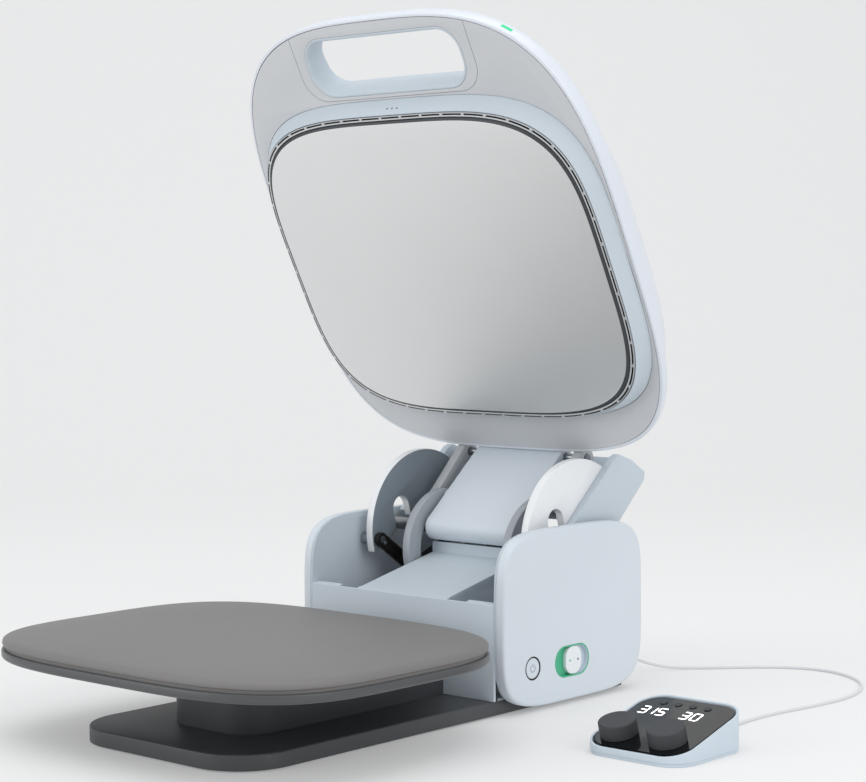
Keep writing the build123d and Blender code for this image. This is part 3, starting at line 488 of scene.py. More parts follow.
def softened(node: str, width: float, sharp: float = 28.0) -> bpy.types.Object:
    """Copy a CAD node, merge its loose triangles and round its edges.

    Args:
        node: The CAD node to stand for.
        width: Edge rounding in millimetres.
        sharp: Edges past this angle are rounded, in degrees.

    Returns:
        The new piece, riding on the node's body.
    """
    source = frame["nodes"][node]
    mesh = source.data.copy()
    work = bmesh.new()
    work.from_mesh(mesh)
    bmesh.ops.remove_doubles(work, verts=work.verts, dist=2e-6)
    bmesh.ops.dissolve_limit(work, angle_limit=math.radians(0.6), verts=work.verts,
                             edges=work.edges)
    work.to_mesh(mesh)
    work.free()
    mesh.name = node + "_rounded"
    piece = bpy.data.objects.new(node + "_rounded", mesh)
    bpy.context.scene.collection.objects.link(piece)
    bevel = piece.modifiers.new("edges", "BEVEL")
    bevel.width, bevel.segments = width * MM, 3
    bevel.limit_method, bevel.angle_limit = "ANGLE", math.radians(sharp)
    bevel.use_clamp_overlap = True
    settled(piece, 50.0)
    return worn(piece, source["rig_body"], None, node)


def worn(piece: bpy.types.Object, body: str, finish: Optional[Finish],
         *nodes: str) -> bpy.types.Object:
    """Give a piece its finish and body, and hide the CAD nodes it stands for.

    Args:
        piece: The object.
        body: CAD body it moves with.
        finish: Its finish, or None to take the first node's.
        nodes: CAD nodes it replaces.

    Returns:
        The same object.
    """
    if finish is None:
        finish = next(f for f, names in NODE_FINISHES.items() if nodes[0] in names)
    piece.data.materials.clear()
    piece.data.materials.append(finish.material())
    if nodes:
        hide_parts(*nodes)
    log.info("%s rides on %s", piece.name, body)
    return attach(piece, body)


@dataclass
class Repeater:
    """Copies one small part to many places with a Geometry Nodes tree."""
    seed: int = 11

    def tree(self) -> bpy.types.NodeTree:
        """Instance a part on points, turn each copy, realise them and set the finish.

        Returns:
            The node group, made once.
        """
        found = bpy.data.node_groups.get("copies_on_points")
        if found:
            return found
        tree = bpy.data.node_groups.new("copies_on_points", "GeometryNodeTree")
        sockets = (("Geometry", "Geometry"), ("Part", "Object"), ("Size", "Float"),
                   ("Wobble", "Float"), ("Seed", "Int"), ("Finish", "Material"))
        for label, kind in sockets:
            tree.interface.new_socket(label, in_out="INPUT", socket_type=f"NodeSocket{kind}")
        tree.interface.new_socket("Geometry", in_out="OUTPUT", socket_type="NodeSocketGeometry")
        given = add_node(tree, "NodeGroupInput").outputs
        shape = add_node(tree, "GeometryNodeObjectInfo", links={"Object": given["Part"]})
        turn = add_node(tree, "GeometryNodeInputNamedAttribute",
                        settings={"data_type": "FLOAT_VECTOR"}, values={"Name": "turn"})
        facing = add_node(tree, "FunctionNodeEulerToRotation",
                          links={"Euler": turn.outputs["Attribute"]})
        copies = add_node(tree, "GeometryNodeInstanceOnPoints",
                          links={"Points": given["Geometry"], "Instance": shape.outputs["Geometry"],
                                 "Rotation": facing.outputs["Rotation"], "Scale": given["Size"]})
        chance = add_node(tree, "FunctionNodeRandomValue", settings={"data_type": "FLOAT"},
                          values={2: 0.0}, links={3: given["Wobble"], "Seed": given["Seed"]})
        spin = add_node(tree, "ShaderNodeCombineXYZ", links={"Z": chance.outputs[1]})
        about = add_node(tree, "FunctionNodeEulerToRotation",
                         links={"Euler": spin.outputs["Vector"]})
        turned = add_node(tree, "GeometryNodeRotateInstances",
                          links={"Instances": copies.outputs["Instances"],
                                 "Rotation": about.outputs["Rotation"]})
        solid = add_node(tree, "GeometryNodeRealizeInstances",
                         links={"Geometry": turned.outputs["Instances"]})
        dressed = add_node(tree, "GeometryNodeSetMaterial",
                           links={"Geometry": solid.outputs["Geometry"],
                                  "Material": given["Finish"]})
        add_node(tree, "NodeGroupOutput", links={"Geometry": dressed.outputs["Geometry"]})
        return tree

    def build(self, part: bpy.types.Object, places: Sequence[Matrix], body: str, finish: Finish,
              name: str, wobble: float = 0.0) -> bpy.types.Object:
        """Copy a part to every place as one plain mesh; the part is used up.

        Args:
            part: The part, at the origin, its outside towards +Z.
            places: Where each copy goes.
            body: CAD body the copies move with.
            finish: Their finish.
            name: Name of the finished piece.
            wobble: Largest random turn about each copy's own axis, in radians.

        Returns:
            The finished piece.
        """
        points = bpy.data.meshes.new(name + "_points")
        points.from_pydata([tuple(place.to_translation()) for place in places], [], [])
        turns = points.attributes.new("turn", "FLOAT_VECTOR", "POINT")
        for row, place in zip(turns.data, places):
            row.vector = tuple(place.to_euler())
        carrier = bpy.data.objects.new(name + "_points", points)
        bpy.context.scene.collection.objects.link(carrier)
        step = carrier.modifiers.new("copies", "NODES")
        step.node_group = self.tree()
        given = {"Part": part, "Size": 1.0, "Wobble": wobble, "Seed": self.seed,
                 "Finish": finish.material()}
        for item in step.node_group.interface.items_tree:
            if item.in_out == "INPUT" and item.name in given:
                step[item.identifier] = given[item.name]
        bpy.context.view_layer.update()
        graph = bpy.context.evaluated_depsgraph_get()
        mesh = bpy.data.meshes.new_from_object(carrier.evaluated_get(graph))
        mesh.name = name
        bpy.data.objects.remove(carrier)
        bpy.data.objects.remove(part)
        piece = bpy.data.objects.new(name, tidy(mesh, 50.0))
        bpy.context.scene.collection.objects.link(piece)
        return worn(piece, body, finish)


def facing(place: Vector, out: Vector, along: Vector) -> Matrix:
    """Matrix that puts a part at a place with +Z outwards and +X along a direction.

    Args:
        place: Position in metres.
        out: Outward direction.
        along: Direction for the part's X axis.

    Returns:
        The matrix.
    """
    z = out.normalized()
    x = (along - z * along.dot(z)).normalized()
    y = z.cross(x)
    turn = Matrix((x, y, z)).transposed().to_4x4()
    turn.translation = place
    return turn


def turned_part(name: str, profile: Sequence[tuple[float, float]],
                steps: int = 20) -> bpy.types.Object:
    """Round part from (height, radius) rows in millimetres, at the origin.

    Args:
        name: Object name.
        profile: Rows from the bottom up.
        steps: Points round it.

    Returns:
        The part.
    """
    rings = [[Vector((radius * math.cos(2 * math.pi * i / steps),
                      radius * math.sin(2 * math.pi * i / steps), height)) * MM
              for i in range(steps)] for height, radius in profile]
    return loft(name, rings, sharp=50.0)


def joint_at(name: str) -> Vector:
    """Where a joint's axis crosses the middle plane.

    Args:
        name: Joint name.

    Returns:
        The point in metres.
    """
    found = next(j for j in frame["joints"] if j["name"] == name)
    return Vector(found["pos_m"])


@dataclass(frozen=True)
class Plane3:
    """A flat working plane: an origin and three unit directions."""
    origin: Vector
    across: Vector
    up: Vector
    out: Vector

    def at(self, x: float, y: float, z: float = 0.0) -> Vector:
        """Point in metres for millimetres across, up and out of the plane."""
        return self.origin + (self.across * x + self.up * y + self.out * z) * MM

    def ring(self, points: Iterable[tuple[float, float]], z: float = 0.0) -> Ring:
        """Ring of points at one height over the plane."""
        return [self.at(x, y, z) for x, y in points]


# ------------------------------------------------------------------ studio
@dataclass
class Studio:
    """Camera, paper sweep and soft lights."""
    azimuth: float = 41.608
    elevation: float = 3.030
    roll: float = -0.3376
    distance: float = 1645.39
    target: tuple[float, float, float] = (216.39, 0.0, 301.11)
    lens: float = 88.553
    sweep_half: float = 7.0
    sweep_front: float = -6.0
    sweep_back: float = 3.4
    sweep_radius: float = 1.6
    sweep_top: float = 6.0

    def camera(self) -> bpy.types.Object:
        """Place the camera.

        Returns:
            The camera object.
        """
        azimuth, elevation = math.radians(self.azimuth), math.radians(self.elevation)
        back = Vector((math.sin(azimuth) * math.cos(elevation),
                       -math.cos(azimuth) * math.cos(elevation), math.sin(elevation)))
        data = bpy.data.cameras.new("camera")
        data.lens, data.sensor_width, data.clip_end = self.lens, 36.0, 100.0
        camera = bpy.data.objects.new("camera", data)
        bpy.context.scene.collection.objects.link(camera)
        camera.location = (Vector(self.target) + back * self.distance) * MM
        turn = back.to_track_quat("Z", "Y").to_matrix() @ Matrix.Rotation(
            math.radians(self.roll), 3, "Z")
        camera.rotation_euler = turn.to_euler()
        bpy.context.scene.camera = camera
        return camera

    def sweep(self) -> bpy.types.Object:
        """Pale paper floor that curves up behind the press.

        Returns:
            The floor object.
        """
        profile = [(self.sweep_front, 0.0), (self.sweep_back - self.sweep_radius, 0.0)]
        for step in range(1, 13):
            turn = math.pi / 2 * step / 12
            profile.append((self.sweep_back - self.sweep_radius * (1 - math.sin(turn)),
                            self.sweep_radius * (1 - math.cos(turn))))
        profile.append((self.sweep_back, self.sweep_top))
        verts = [Vector((x, y, z)) for x in (-self.sweep_half, self.sweep_half)
                 for y, z in profile]
        count = len(profile)
        faces = [(i, i + count, i + count + 1, i + 1) for i in range(count - 1)]
        mesh = bpy.data.meshes.new("paper_sweep")
        mesh.from_pydata([tuple(v) for v in verts], [], faces)
        floor = bpy.data.objects.new("paper_sweep", tidy(mesh))
        turned = Matrix.Rotation(math.radians(self.azimuth), 4, "Z")
        mesh.transform(turned)
        bpy.context.scene.collection.objects.link(floor)
        mesh.materials.append(FLOOR.material())
        return floor

    def lamp(self, name: str, place: tuple[float, float, float], size: float,
             power: float) -> None:
        """Add one square soft light aimed at the press.

        Args:
            name: Lamp name.
            place: Position in metres.
            size: Side of the square in metres.
            power: Watts.
        """
        data = bpy.data.lights.new(name, "AREA")
        data.size, data.energy = size, power
        lamp = bpy.data.objects.new(name, data)
        bpy.context.scene.collection.objects.link(lamp)
        lamp.location = place
        aim = Vector((0.0, 0.15, 0.25)) - Vector(place)
        lamp.rotation_euler = aim.to_track_quat("-Z", "Y").to_euler()

    def build(self) -> None:
        """Make the whole studio."""
        self.camera()
        self.sweep()
        self.lamp("overhead_softbox", (0.2, -0.3, 3.2), 3.2, 40.0)
        self.lamp("right_softbox", (3.0, -0.2, 1.6), 2.2, 28.0)
        self.lamp("front_left_softbox", (-2.0, -3.0, 1.0), 2.4, 34.0)
        world = bpy.data.worlds.new("studio_air")
        world.use_nodes = True
        world.node_tree.nodes["Background"].inputs["Color"].default_value = linear("#F2F4F6")
        world.node_tree.nodes["Background"].inputs["Strength"].default_value = 0.72
        bpy.context.scene.world = world
        bpy.context.scene.view_settings.view_transform = "Standard"


# ------------------------------------------------------------------ control cable
@dataclass
class ControlCable:
    """Thin lead from the back of the press round to the pod."""
    radius: float = 1.4
    socket_x: float = 70.0
    socket_z: float = 24.0
    plug_end: float = 410.9
    pod_x: float = 300.7
    pod_exit: float = 248.0
    length: float = 613.6

    def route(self) -> list[tuple[float, float, float]]:
        """The points that the lead follows, in millimetres."""
        return [
            (self.socket_x, self.plug_end, self.socket_z), (self.socket_x, 427, self.socket_z),
            (71, 442, 20), (75, 456, 13.5), (83, 470, 7), (95, 486, 2.6), (112, 505, 1.6),
            (133, 526, 1.5), (157, 550, 1.5), (185, 570, 1.5), (216, 577, 1.5), (248, 567, 1.5),
            (276, 545, 1.5), (295, 513, 1.5), (304, 477, 1.5), (303, 440, 1.5), (297, 402, 1.5),
            (291, 366, 1.5), (290, 330, 1.5), (293, 301, 2.0), (298, 281, 6.0),
            (self.pod_x, 263, 12), (self.pod_x, self.pod_exit, 12),
        ]

    def build(self) -> bpy.types.Object:
        """Make the lead as one smooth spline.

        Returns:
            The cable object.
        """
        curve = bpy.data.curves.new("control_cable_lead", "CURVE")
        curve.dimensions = "3D"
        spline = curve.splines.new("NURBS")
        route = self.route()
        spline.points.add(len(route) - 1)
        for point, place in zip(spline.points, route):
            point.co = (*[c * MM for c in place], 1.0)
        spline.order_u = 3
        spline.use_endpoint_u = True
        spline.resolution_u = 8
        curve.bevel_depth, curve.bevel_resolution = self.radius * MM, 4
        curve.use_fill_caps = True
        cable = bpy.data.objects.new("control_cable_lead", curve)
        bpy.context.scene.collection.objects.link(cable)
        curve.materials.append(CABLE_PVC.material())
        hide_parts("control_cable")
        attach(cable, "base")
        tuple(c * MM for c in route[0])
        return cable


# ------------------------------------------------------------------ platen
@dataclass
class Platen:
    """Foot, column, tray and the soft mat on it."""
    half_x: float = 196.5
    half_y: float = 155.9
    power: float = 3.62

    def outline(self, grow: float) -> Outline:
        """Tray outline moved out by grow."""
        return superellipse(self.half_x + grow, self.half_y + grow, self.half_y + grow,
                            self.power, self.power, steps=160)

    def mat(self) -> bpy.types.Object:
        """Crowned sponge mat: an undercut foot, a full round edge and a slow dome.

        Returns:
            The mat.
        """
        low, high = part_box("pressing_mat")
        floor, thick = low.z / MM, (high.z - low.z) / MM
        plane = Plane3(Vector((0, 0, floor * MM)), Vector((1, 0, 0)), Vector((0, 1, 0)),
                       Vector((0, 0, 1)))
        edge = [(0.0, -3.0), (2.6, -3.0), (2.9, -2.4), (3.2, -1.5), (3.9, -0.9), (5.2, -0.7),
                (6.8, -0.9), (8.2, -1.5), (9.3, -2.8), (10.1, -4.8), (10.8, -8.0),
                (11.5, -13.0), (12.3, -20.0), (13.1, -30.0), (13.8, -44.0), (14.3, -62.0),
                (14.65, -84.0), (thick - 0.1, -108.0), (thick, -130.0), (thick, -147.0)]
        rings = [plane.ring(self.outline(grow), min(height, thick)) for height, grow in edge]
        mat = loft("sponge_mat", rings, sharp=50.0)
        worn(mat, "base", SPONGE, "pressing_mat")
        return mat

    def tray(self) -> bpy.types.Object:
        """Tray with an eased rim.

        Returns:
            The tray.
        """
        low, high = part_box("platen_tray")
        plane = Plane3(Vector((0, 0, low.z)), Vector((1, 0, 0)), Vector((0, 1, 0)),
                       Vector((0, 0, 1)))
        thick = (high.z - low.z) / MM
        edge = [(0.0, -3.2), (0.35, -1.9), (1.2, -0.7), (2.4, -0.1), (3.2, 0.0),
                (thick - 1.2, 0.0), (thick - 0.5, -0.2), (thick - 0.1, -0.7), (thick, -1.4),
                (thick, -20.0)]
        tray = loft("tray_casting", [plane.ring(self.outline(g), z) for z, g in edge], sharp=60.0)
        return worn(tray, "base", None, "platen_tray")

    def build(self) -> None:
        """Make the platen group."""
        self.mat()
        self.tray()
        softened("platen_column", 1.2)
        softened("foot_plate", 0.5)


# ------------------------------------------------------------------ body
@dataclass
class Body:
    """Side covers, deck, back and the controls on the right side."""
    power: float = 4.76
    button: tuple[float, float] = (235.8, 40.6)
    button_hole: float = 10.7
    switch: tuple[float, float] = (292.5, 40.2)
    switch_half: float = 25.2
    switch_radius: float = 14.45

    def side_plane(self, side: int, face: float) -> Plane3:
        """Plane on a side face, origin at the middle of the cover.

        Args:
            side: 1 for the right, -1 for the left.
            face: X of the plane, in millimetres.

        Returns:
            The plane; across runs to the back and out points away from the press.
        """
        low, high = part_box("left_side_cover")
        mid = (low + high) / 2
        return Plane3(Vector((side * face * MM, mid.y, mid.z)), Vector((0, 1, 0)),
                      Vector((0, 0, 1)), Vector((side, 0, 0)))

    def cover(self, side: int) -> bpy.types.Object:
        """One outer side moulding with a full soft edge.

        Args:
            side: 1 for the right, -1 for the left.

        Returns:
            The cover.
        """
        node = "right_side_cover" if side > 0 else "left_side_cover"
        low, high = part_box(node)
        half_y, half_z = (high.y - low.y) / 2 / MM, (high.z - low.z) / 2 / MM
        inner = min(abs(low.x), abs(high.x)) / MM
        deep = max(abs(low.x), abs(high.x)) / MM - inner
        plane = self.side_plane(side, inner)
        edge = [(0.0, -0.5), (0.4, -0.1), (1.0, 0.0), (deep - 2.8, 0.0), (deep - 1.7, -0.25),
                (deep - 0.9, -0.75), (deep - 0.35, -1.5), (deep - 0.08, -2.5), (deep, -4.0),
                (deep, -30.0)]

        def ring(grow: float) -> Outline:
            """Cover outline moved out by grow."""
            return superellipse(half_y + grow, half_z + grow, half_z + grow,
                                self.power, self.power, steps=160)

        cover = loft(node + "_moulding", [plane.ring(ring(g), z) for z, g in edge], sharp=60.0)
        wall = 3.0
        dish = loft("dish", [plane.ring(ring(-wall), z) for z in (-1.0, deep - wall)])
        combine(cover, dish, "DIFFERENCE")
        if side > 0:
            for tool in self.side_holes(inner):
                combine(cover, tool, "DIFFERENCE")
        return worn(cover, "base", BODY_ABS, node)

    def side_holes(self, inner: float) -> list[bpy.types.Object]:
        """Cutting tools for the button and switch openings.

        Args:
            inner: X of the cover's inner edge, in millimetres.

        Returns:
            Two closed tools.
        """
        plane = Plane3(Vector((inner * MM, 0, 0)), Vector((0, 1, 0)), Vector((0, 0, 1)),
                       Vector((1, 0, 0)))
        round_hole = [(self.button[0] + self.button_hole * math.cos(2 * math.pi * i / 48),
                       self.button[1] + self.button_hole * math.sin(2 * math.pi * i / 48))
                      for i in range(48)]
        slot = rounded_rect(self.switch_half, self.switch_radius, self.switch_radius - 0.01,
                            *self.switch, steps=16)
        return [loft("tool", [plane.ring(shape, z) for z in (-5.0, 20.0)])
                for shape in (round_hole, slot)]

    def power_icon(self) -> None:
        """Ring and bar printed on the power button."""
        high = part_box("power_button")[1]
        plane = Plane3(Vector((high.x, self.button[0] * MM, self.button[1] * MM)),
                       Vector((0, 1, 0)), Vector((0, 0, 1)), Vector((1, 0, 0)))
        radius, width = 3.3, 0.5
        arc = [math.radians(125 + 290 * i / 30) for i in range(31)]
        outer = [((radius + width / 2) * math.cos(a), (radius + width / 2) * math.sin(a)) for a in arc]
        inner = [((radius - width / 2) * math.cos(a), (radius - width / 2) * math.sin(a)) for a in arc]
        shape = [*outer, *reversed(inner)]
        rings = [plane.ring(shape, z) for z in (-0.2, 0.06)]
        ring = loft("power_icon_ring", rings)
        worn(ring, "power_button", ICON_INK)
        bar = rounded_rect(width / 2, 2.0, 0.2, 0.0, 2.4, steps=3)
        stroke = loft("power_icon_bar", [plane.ring(bar, z) for z in (-0.2, 0.06)])
        worn(stroke, "power_button", ICON_INK)

    def switch_dress(self) -> None:
        """Pale half of the lock switch's well and the slider's two dots."""
        low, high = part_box("switch_recess")
        plane = Plane3(Vector(((high.x - 4.2 * MM), self.switch[0] * MM, self.switch[1] * MM)),
                       Vector((0, 1, 0)), Vector((0, 0, 1)), Vector((1, 0, 0)))
        rim, floor = rounded_rect(23.75, 13.0, 12.95, steps=16), rounded_rect(23.4, 12.85, 12.7, steps=16)
        quarter = 17
        sides = [[*shape[3 * quarter:], *shape[:quarter]] for shape in (rim, floor)]
        cut = 4.0
        outer, inner = [[(cut, ring[0][1]), *ring, (cut, ring[-1][1])] for ring in sides]
        wall = loft("switch_pale_wall", [plane.ring([*outer, *reversed(inner)], z)
                                         for z in (-0.2, 4.0)])
        worn(wall, "base", POD_ABS)
        worn(loft("switch_pale_floor", [plane.ring(outer, z) for z in (-0.3, 0.1)]), "base", POD_ABS)
        slider_low, slider_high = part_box("lock_slider")
        mid = (slider_low + slider_high) / 2
        face = Plane3(Vector((slider_high.x, mid.y, mid.z)), Vector((0, 1, 0)),
                      Vector((0, 0, 1)), Vector((1, 0, 0)))
        for index, (spot, finish) in enumerate(((-5.5, GREEN_PC), (6.0, ICON_INK))):
            dot = [(spot + 1.1 * math.cos(2 * math.pi * i / 20), 1.1 * math.sin(2 * math.pi * i / 20))
                   for i in range(20)]
            worn(loft(f"slider_dot_{index + 1}", [face.ring(dot, z) for z in (-0.2, 0.05)]),
                 "lock_slider", finish)

    def screws(self) -> None:
        """Domed screws on the back cover."""
        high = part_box("rear_cover")[1]
        back = [facing(Vector((x * MM, high.y - 0.0002, z * MM)), Vector((0, 1, 0)),
                       Vector((1, 0, 0)))
                for x in (-98.0, 0.0, 98.0) for z in (32.0, 118.0)]
        dome = turned_part("dome", ((-0.4, 3.2), (0.6, 3.2), (1.3, 2.7), (1.7, 1.7), (1.75, 0.9),
                                    (1.0, 0.85), (1.0, 0.3)))
        Repeater().build(dome, back, "base", STEEL, "back_cover_screws", 3.1)

    def vents(self) -> None:
        """Raised louvre ribs low on the back cover."""
        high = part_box("rear_cover")[1]
        places = [facing(Vector(((30.0 + 7.0 * i) * MM, high.y - 0.0002, 84.0 * MM)),
                         Vector((0, 1, 0)), Vector((0, 0, 1))) for i in range(9)]
        shape = rounded_rect(15.0, 1.2, 1.15, steps=5)
        flat = Plane3(Vector((0, 0, 0)), Vector((1, 0, 0)), Vector((0, 1, 0)), Vector((0, 0, 1)))
        rib = loft("rib", [flat.ring(grown(shape, g), z)
                           for z, g in ((-0.3, 0.0), (0.5, 0.0), (0.8, -0.3), (0.9, -0.7))])
        Repeater().build(rib, places, "base", LINER_ABS, "back_cover_louvres")

    def build(self) -> None:
        """Make the body group."""
        self.cover(1)
        self.cover(-1)
        self.screws()
        self.vents()
        self.power_icon()
        self.switch_dress()
        softened("deck_cover", 1.4)
        softened("rear_cover", 1.0)
        softened("side_liners", 0.6)


# ------------------------------------------------------------------ folding neck
@dataclass
class Neck:
    """Covers, cheeks, rockers and lid arms of the folding neck."""
    cap_radius: float = 7.4

    def caps(self) -> None:
        """Round blue caps on the inner faces of the rockers' upper ends."""
        low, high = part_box("rocker_arms")
        for side in (1, -1):
            plane = Plane3(Vector((side * 57.0 * MM, 0.3300, 0.1750)), Vector((0, 1, 0)),
                           Vector((0, 0, 1)), Vector((-side, 0, 0)))
            edge = [(-0.5, 0.0), (0.6, 0.0), (1.1, -0.3), (1.3, -1.0), (1.35, -3.0)]
            rings = [plane.ring([((self.cap_radius + g) * math.cos(2 * math.pi * i / 40),
                                  (self.cap_radius + g) * math.sin(2 * math.pi * i / 40))
                                 for i in range(40)], z) for z, g in edge]
            worn(loft(f"rocker_cap_{'right' if side > 0 else 'left'}", rings, sharp=50.0),
                 "rockers", BODY_ABS)

    def cheeks(self) -> None:
        """Cheek plates: white outside, with painted shade in grey on the faces towards the neck."""
        cheeks = softened("cheek_plates", 1.4)
        # Second slot: painted shade on the faces towards the neck.
        cheeks.data.materials.append(CHEEK_SHADE.material())
        inner = 92.0 * MM
        for face in cheeks.data.polygons:
            if abs(abs(face.center.x) - inner) < 0.3 * MM and abs(face.normal.x) > 0.9:
                face.material_index = 1

    def link_screws(self) -> None:
        """Small screw heads on the drive links."""
        low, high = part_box("drive_links")
        pin = joint_at("link_pivot")
        for side in (1, -1):
            plane = Plane3(Vector((side * (86.5) * MM, pin.y + 0.004, pin.z - 0.004)),
                           Vector((0, 1, 0)), Vector((0, 0, 1)), Vector((-side, 0, 0)))
            rings = [plane.ring([((1.9 + g) * math.cos(2 * math.pi * i / 24),
                                  (1.9 + g) * math.sin(2 * math.pi * i / 24))
                                 for i in range(24)], z)
                     for z, g in ((-0.3, 0.0), (0.3, 0.0), (0.55, -0.5), (0.6, -1.2))]
            worn(loft(f"link_screw_{'right' if side > 0 else 'left'}", rings, sharp=50.0),
                 "drive_links", STEEL)

    def build(self) -> None:
        """Make the neck group."""
        softened("neck_front_cover", 1.6)
        softened("neck_rear_cover", 1.6)
        self.cheeks()
        softened("rocker_arms", 1.2)
        softened("lid_arms", 1.2)
        softened("drive_links", 0.5)
        self.caps()
        self.link_screws()


# ------------------------------------------------------------------ lid
@dataclass
class Lid:
    """Shell, rim, bezel, heat plate and handle of the lid."""
    tilt: float = 62.52
    plate_x: float = 190.5
    plate_y: float = 152.5
    plate_power: float = 3.893
    plate_thick: float = 10.0
    rim_depth: float = 17.0
    rim_thick: float = 3.6
    power_up: float = 3.2
    power_down: float = 3.9
    mid: float = 19.0
    wall: float = 3.0
    bezel_x: float = 203.5
    bezel_y: float = 165.0
    bezel_mid: float = 2.0
    handle: tuple[float, float, float, float] = (92.0, 26.5, 201.5, 22.0)
    handle_wall: float = 2.6
    bridges: int = 50
    light_u: float = 146.0
    light_lift: float = 0.6
    levels: tuple[tuple[float, float, float, float], ...] = (
        (17.0, 209.0, 226.0, 222.0), (24.0, 209.5, 226.5, 221.0), (30.0, 208.5, 225.0, 200.0),
        (35.0, 206.5, 219.0, 196.0), (42.0, 203.0, 168.0, 190.5), (54.0, 195.0, 152.0, 181.0),
        (66.0, 178.0, 135.0, 165.0), (74.0, 140.0, 105.0, 130.0), (77.0, 90.0, 65.0, 85.0))

    def plane(self) -> Plane3:
        """Plane of the heated face; out points behind the face, into the lid.

        Returns:
            The plane, placed from the heat plate's own box.
        """
        turn = math.radians(self.tilt)
        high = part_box("heat_plate")[1]
        up = Vector((0, -math.cos(turn), math.sin(turn)))
        out = Vector((0, math.sin(turn), math.cos(turn)))
        y = high.y - (self.plate_y * math.cos(turn) + self.plate_thick * math.sin(turn)) * MM
        z = high.z - (self.plate_y * math.sin(turn) + self.plate_thick * math.cos(turn)) * MM
        return Plane3(Vector((0, y, z)), Vector((1, 0, 0)), up, out)

    def ring(self, half_x: float, up: float, down: float, depth: float, grow: float = 0.0) -> Ring:
        """One ring of the lid's outline at a depth behind the heated face."""
        shape = superellipse(half_x + grow, up + grow, down + grow, self.power_up,
                             self.power_down, self.mid, steps=160)
        return self.plane().ring(shape, depth)

    def level(self, depth: float) -> tuple[float, float, float]:
        """Outline sizes at any depth, read smoothly between the given levels.

        Args:
            depth: Depth behind the heated face.

        Returns:
            Half width, reach up and reach down.
        """
        rows = self.levels
        index = max(i for i in range(len(rows) - 1) if rows[i][0] <= depth + 1e-9)
        a, b = rows[index], rows[index + 1]
        before, after = rows[max(index - 1, 0)], rows[min(index + 2, len(rows) - 1)]
        span = b[0] - a[0]
        t = (depth - a[0]) / span
        out = []
        for k in (1, 2, 3):
            slope_a = (b[k] - before[k]) / (b[0] - before[0]) * span
            slope_b = (after[k] - a[k]) / (after[0] - a[0]) * span
            if (b[k] - a[k]) * (a[k] - before[k]) <= 0:
                slope_a = 0.0
            if (after[k] - b[k]) * (b[k] - a[k]) <= 0 and index + 2 < len(rows):
                slope_b = 0.0
            steep = 3 * (b[k] - a[k])
            slope_a = max(min(slope_a, abs(steep)), -abs(steep))
            slope_b = max(min(slope_b, abs(steep)), -abs(steep))
            t2, t3 = t * t, t * t * t
            out.append((2 * t3 - 3 * t2 + 1) * a[k] + (t3 - 2 * t2 + t) * slope_a
                       + (-2 * t3 + 3 * t2) * b[k] + (t3 - t2) * slope_b)
        return out[0], out[1], out[2]

    def solid(self, name: str, grow: float, front: Sequence[tuple[float, float]],
              lift: float) -> bpy.types.Object:
        """Closed solid of the lid's outer form, or of its hollow.

        Args:
            name: Object name.
            grow: Outline offset.
            front: Extra (depth, offset) rings ahead of the lofted part.
            lift: How far the back surface is brought forward.

        Returns:
            The solid.
        """
        rings = [self.ring(*self.levels[0][1:], depth, g) for depth, g in front]
        deepest = self.levels[-1][0]
        depths = [19.5, 22, 24, 26, 28, 30, 32, 34, 35.5, 37, 38.5, 40, 41.5, 43, 45, 48, 52, 56,
                  60, 64, 67, 69.5, 71.5, 73, 74.2, 75.2, 76.0, 76.6]
        for depth in depths:
            rings.append(self.ring(*self.level(depth), depth - lift, grow))
        half_x, up, down = self.levels[-1][1:]
        rings.append(self.ring(half_x, up, down, deepest - lift, grow))
        rings.append(self.ring(half_x * 0.7, up * 0.7, down * 0.7, deepest + 0.25 - lift, grow))
        rings.append(self.ring(half_x * 0.35, up * 0.35, down * 0.35, deepest + 0.3 - lift, grow))
        return loft(name, rings, sharp=60.0)

    def hole(self, name: str, grow: float, low: float, high: float) -> bpy.types.Object:
        """Prism through the handle opening."""
        half_x, half_y, mid, corner = self.handle
        shape = rounded_rect(half_x + grow, half_y + grow, corner + grow, 0.0, mid, steps=12)
        return loft(name, [self.plane().ring(shape, z) for z in (low, high)])

    def shell(self) -> bpy.types.Object:
        """White outer shell: soft front lip, domed back, handle and arm openings.

        Returns:
            The shell.
        """
        front = [(17.0, -2.9), (17.0, -1.6), (17.15, -0.9), (17.6, -0.35), (18.4, 0.0)]
        shell = self.solid("lid_shell_moulding", 0.0, front, 0.0)
        hollow = self.solid("hollow", -self.wall, [(10.0, -self.wall), (15.5, -self.wall)],
                            self.wall)
        combine(shell, hollow, "DIFFERENCE")
        combine(shell, self.hole("tool", self.handle_wall + 0.15, 0.0, 90.0), "DIFFERENCE")
        plane = self.plane()
        for side in (1, -1):
            slot = rounded_rect(5.8, 20.0, 1.0, side * 72.5, -203.0, steps=3)
            combine(shell, loft("tool", [plane.ring(slot, z) for z in (19.5, 60.0)]), "DIFFERENCE")
        return worn(shell, "lid", SHELL_PC, "lid_shell")

    def handle_liner(self) -> bpy.types.Object:
        """Blue wall round the handle opening with a soft lip.

        Returns:
            The liner.
        """
        plane = self.plane()
        half_x, half_y, mid, corner = self.handle
        shape = rounded_rect(half_x, half_y, corner, 0.0, mid, steps=12)
        profile = [(17.0, 2.5), (16.75, 1.9), (16.8, 1.1), (17.2, 0.3), (18.1, -0.5), (19.6, -1.1),
                   (22.0, -1.5), (26.0, -1.6), (60.0, -1.6), (60.0, 2.5)]
        liner = loft("handle_liner_wall", [plane.ring(grown(shape, g), z) for z, g in profile],
                     closed=True, sharp=60.0)
        front = [(15.0, 0.0), (18.4, 0.0)]
        combine(liner, self.solid("trim", 0.0, front, 0.0), "INTERSECT")
        return worn(liner, "lid", LINER_ABS, "handle_liner")

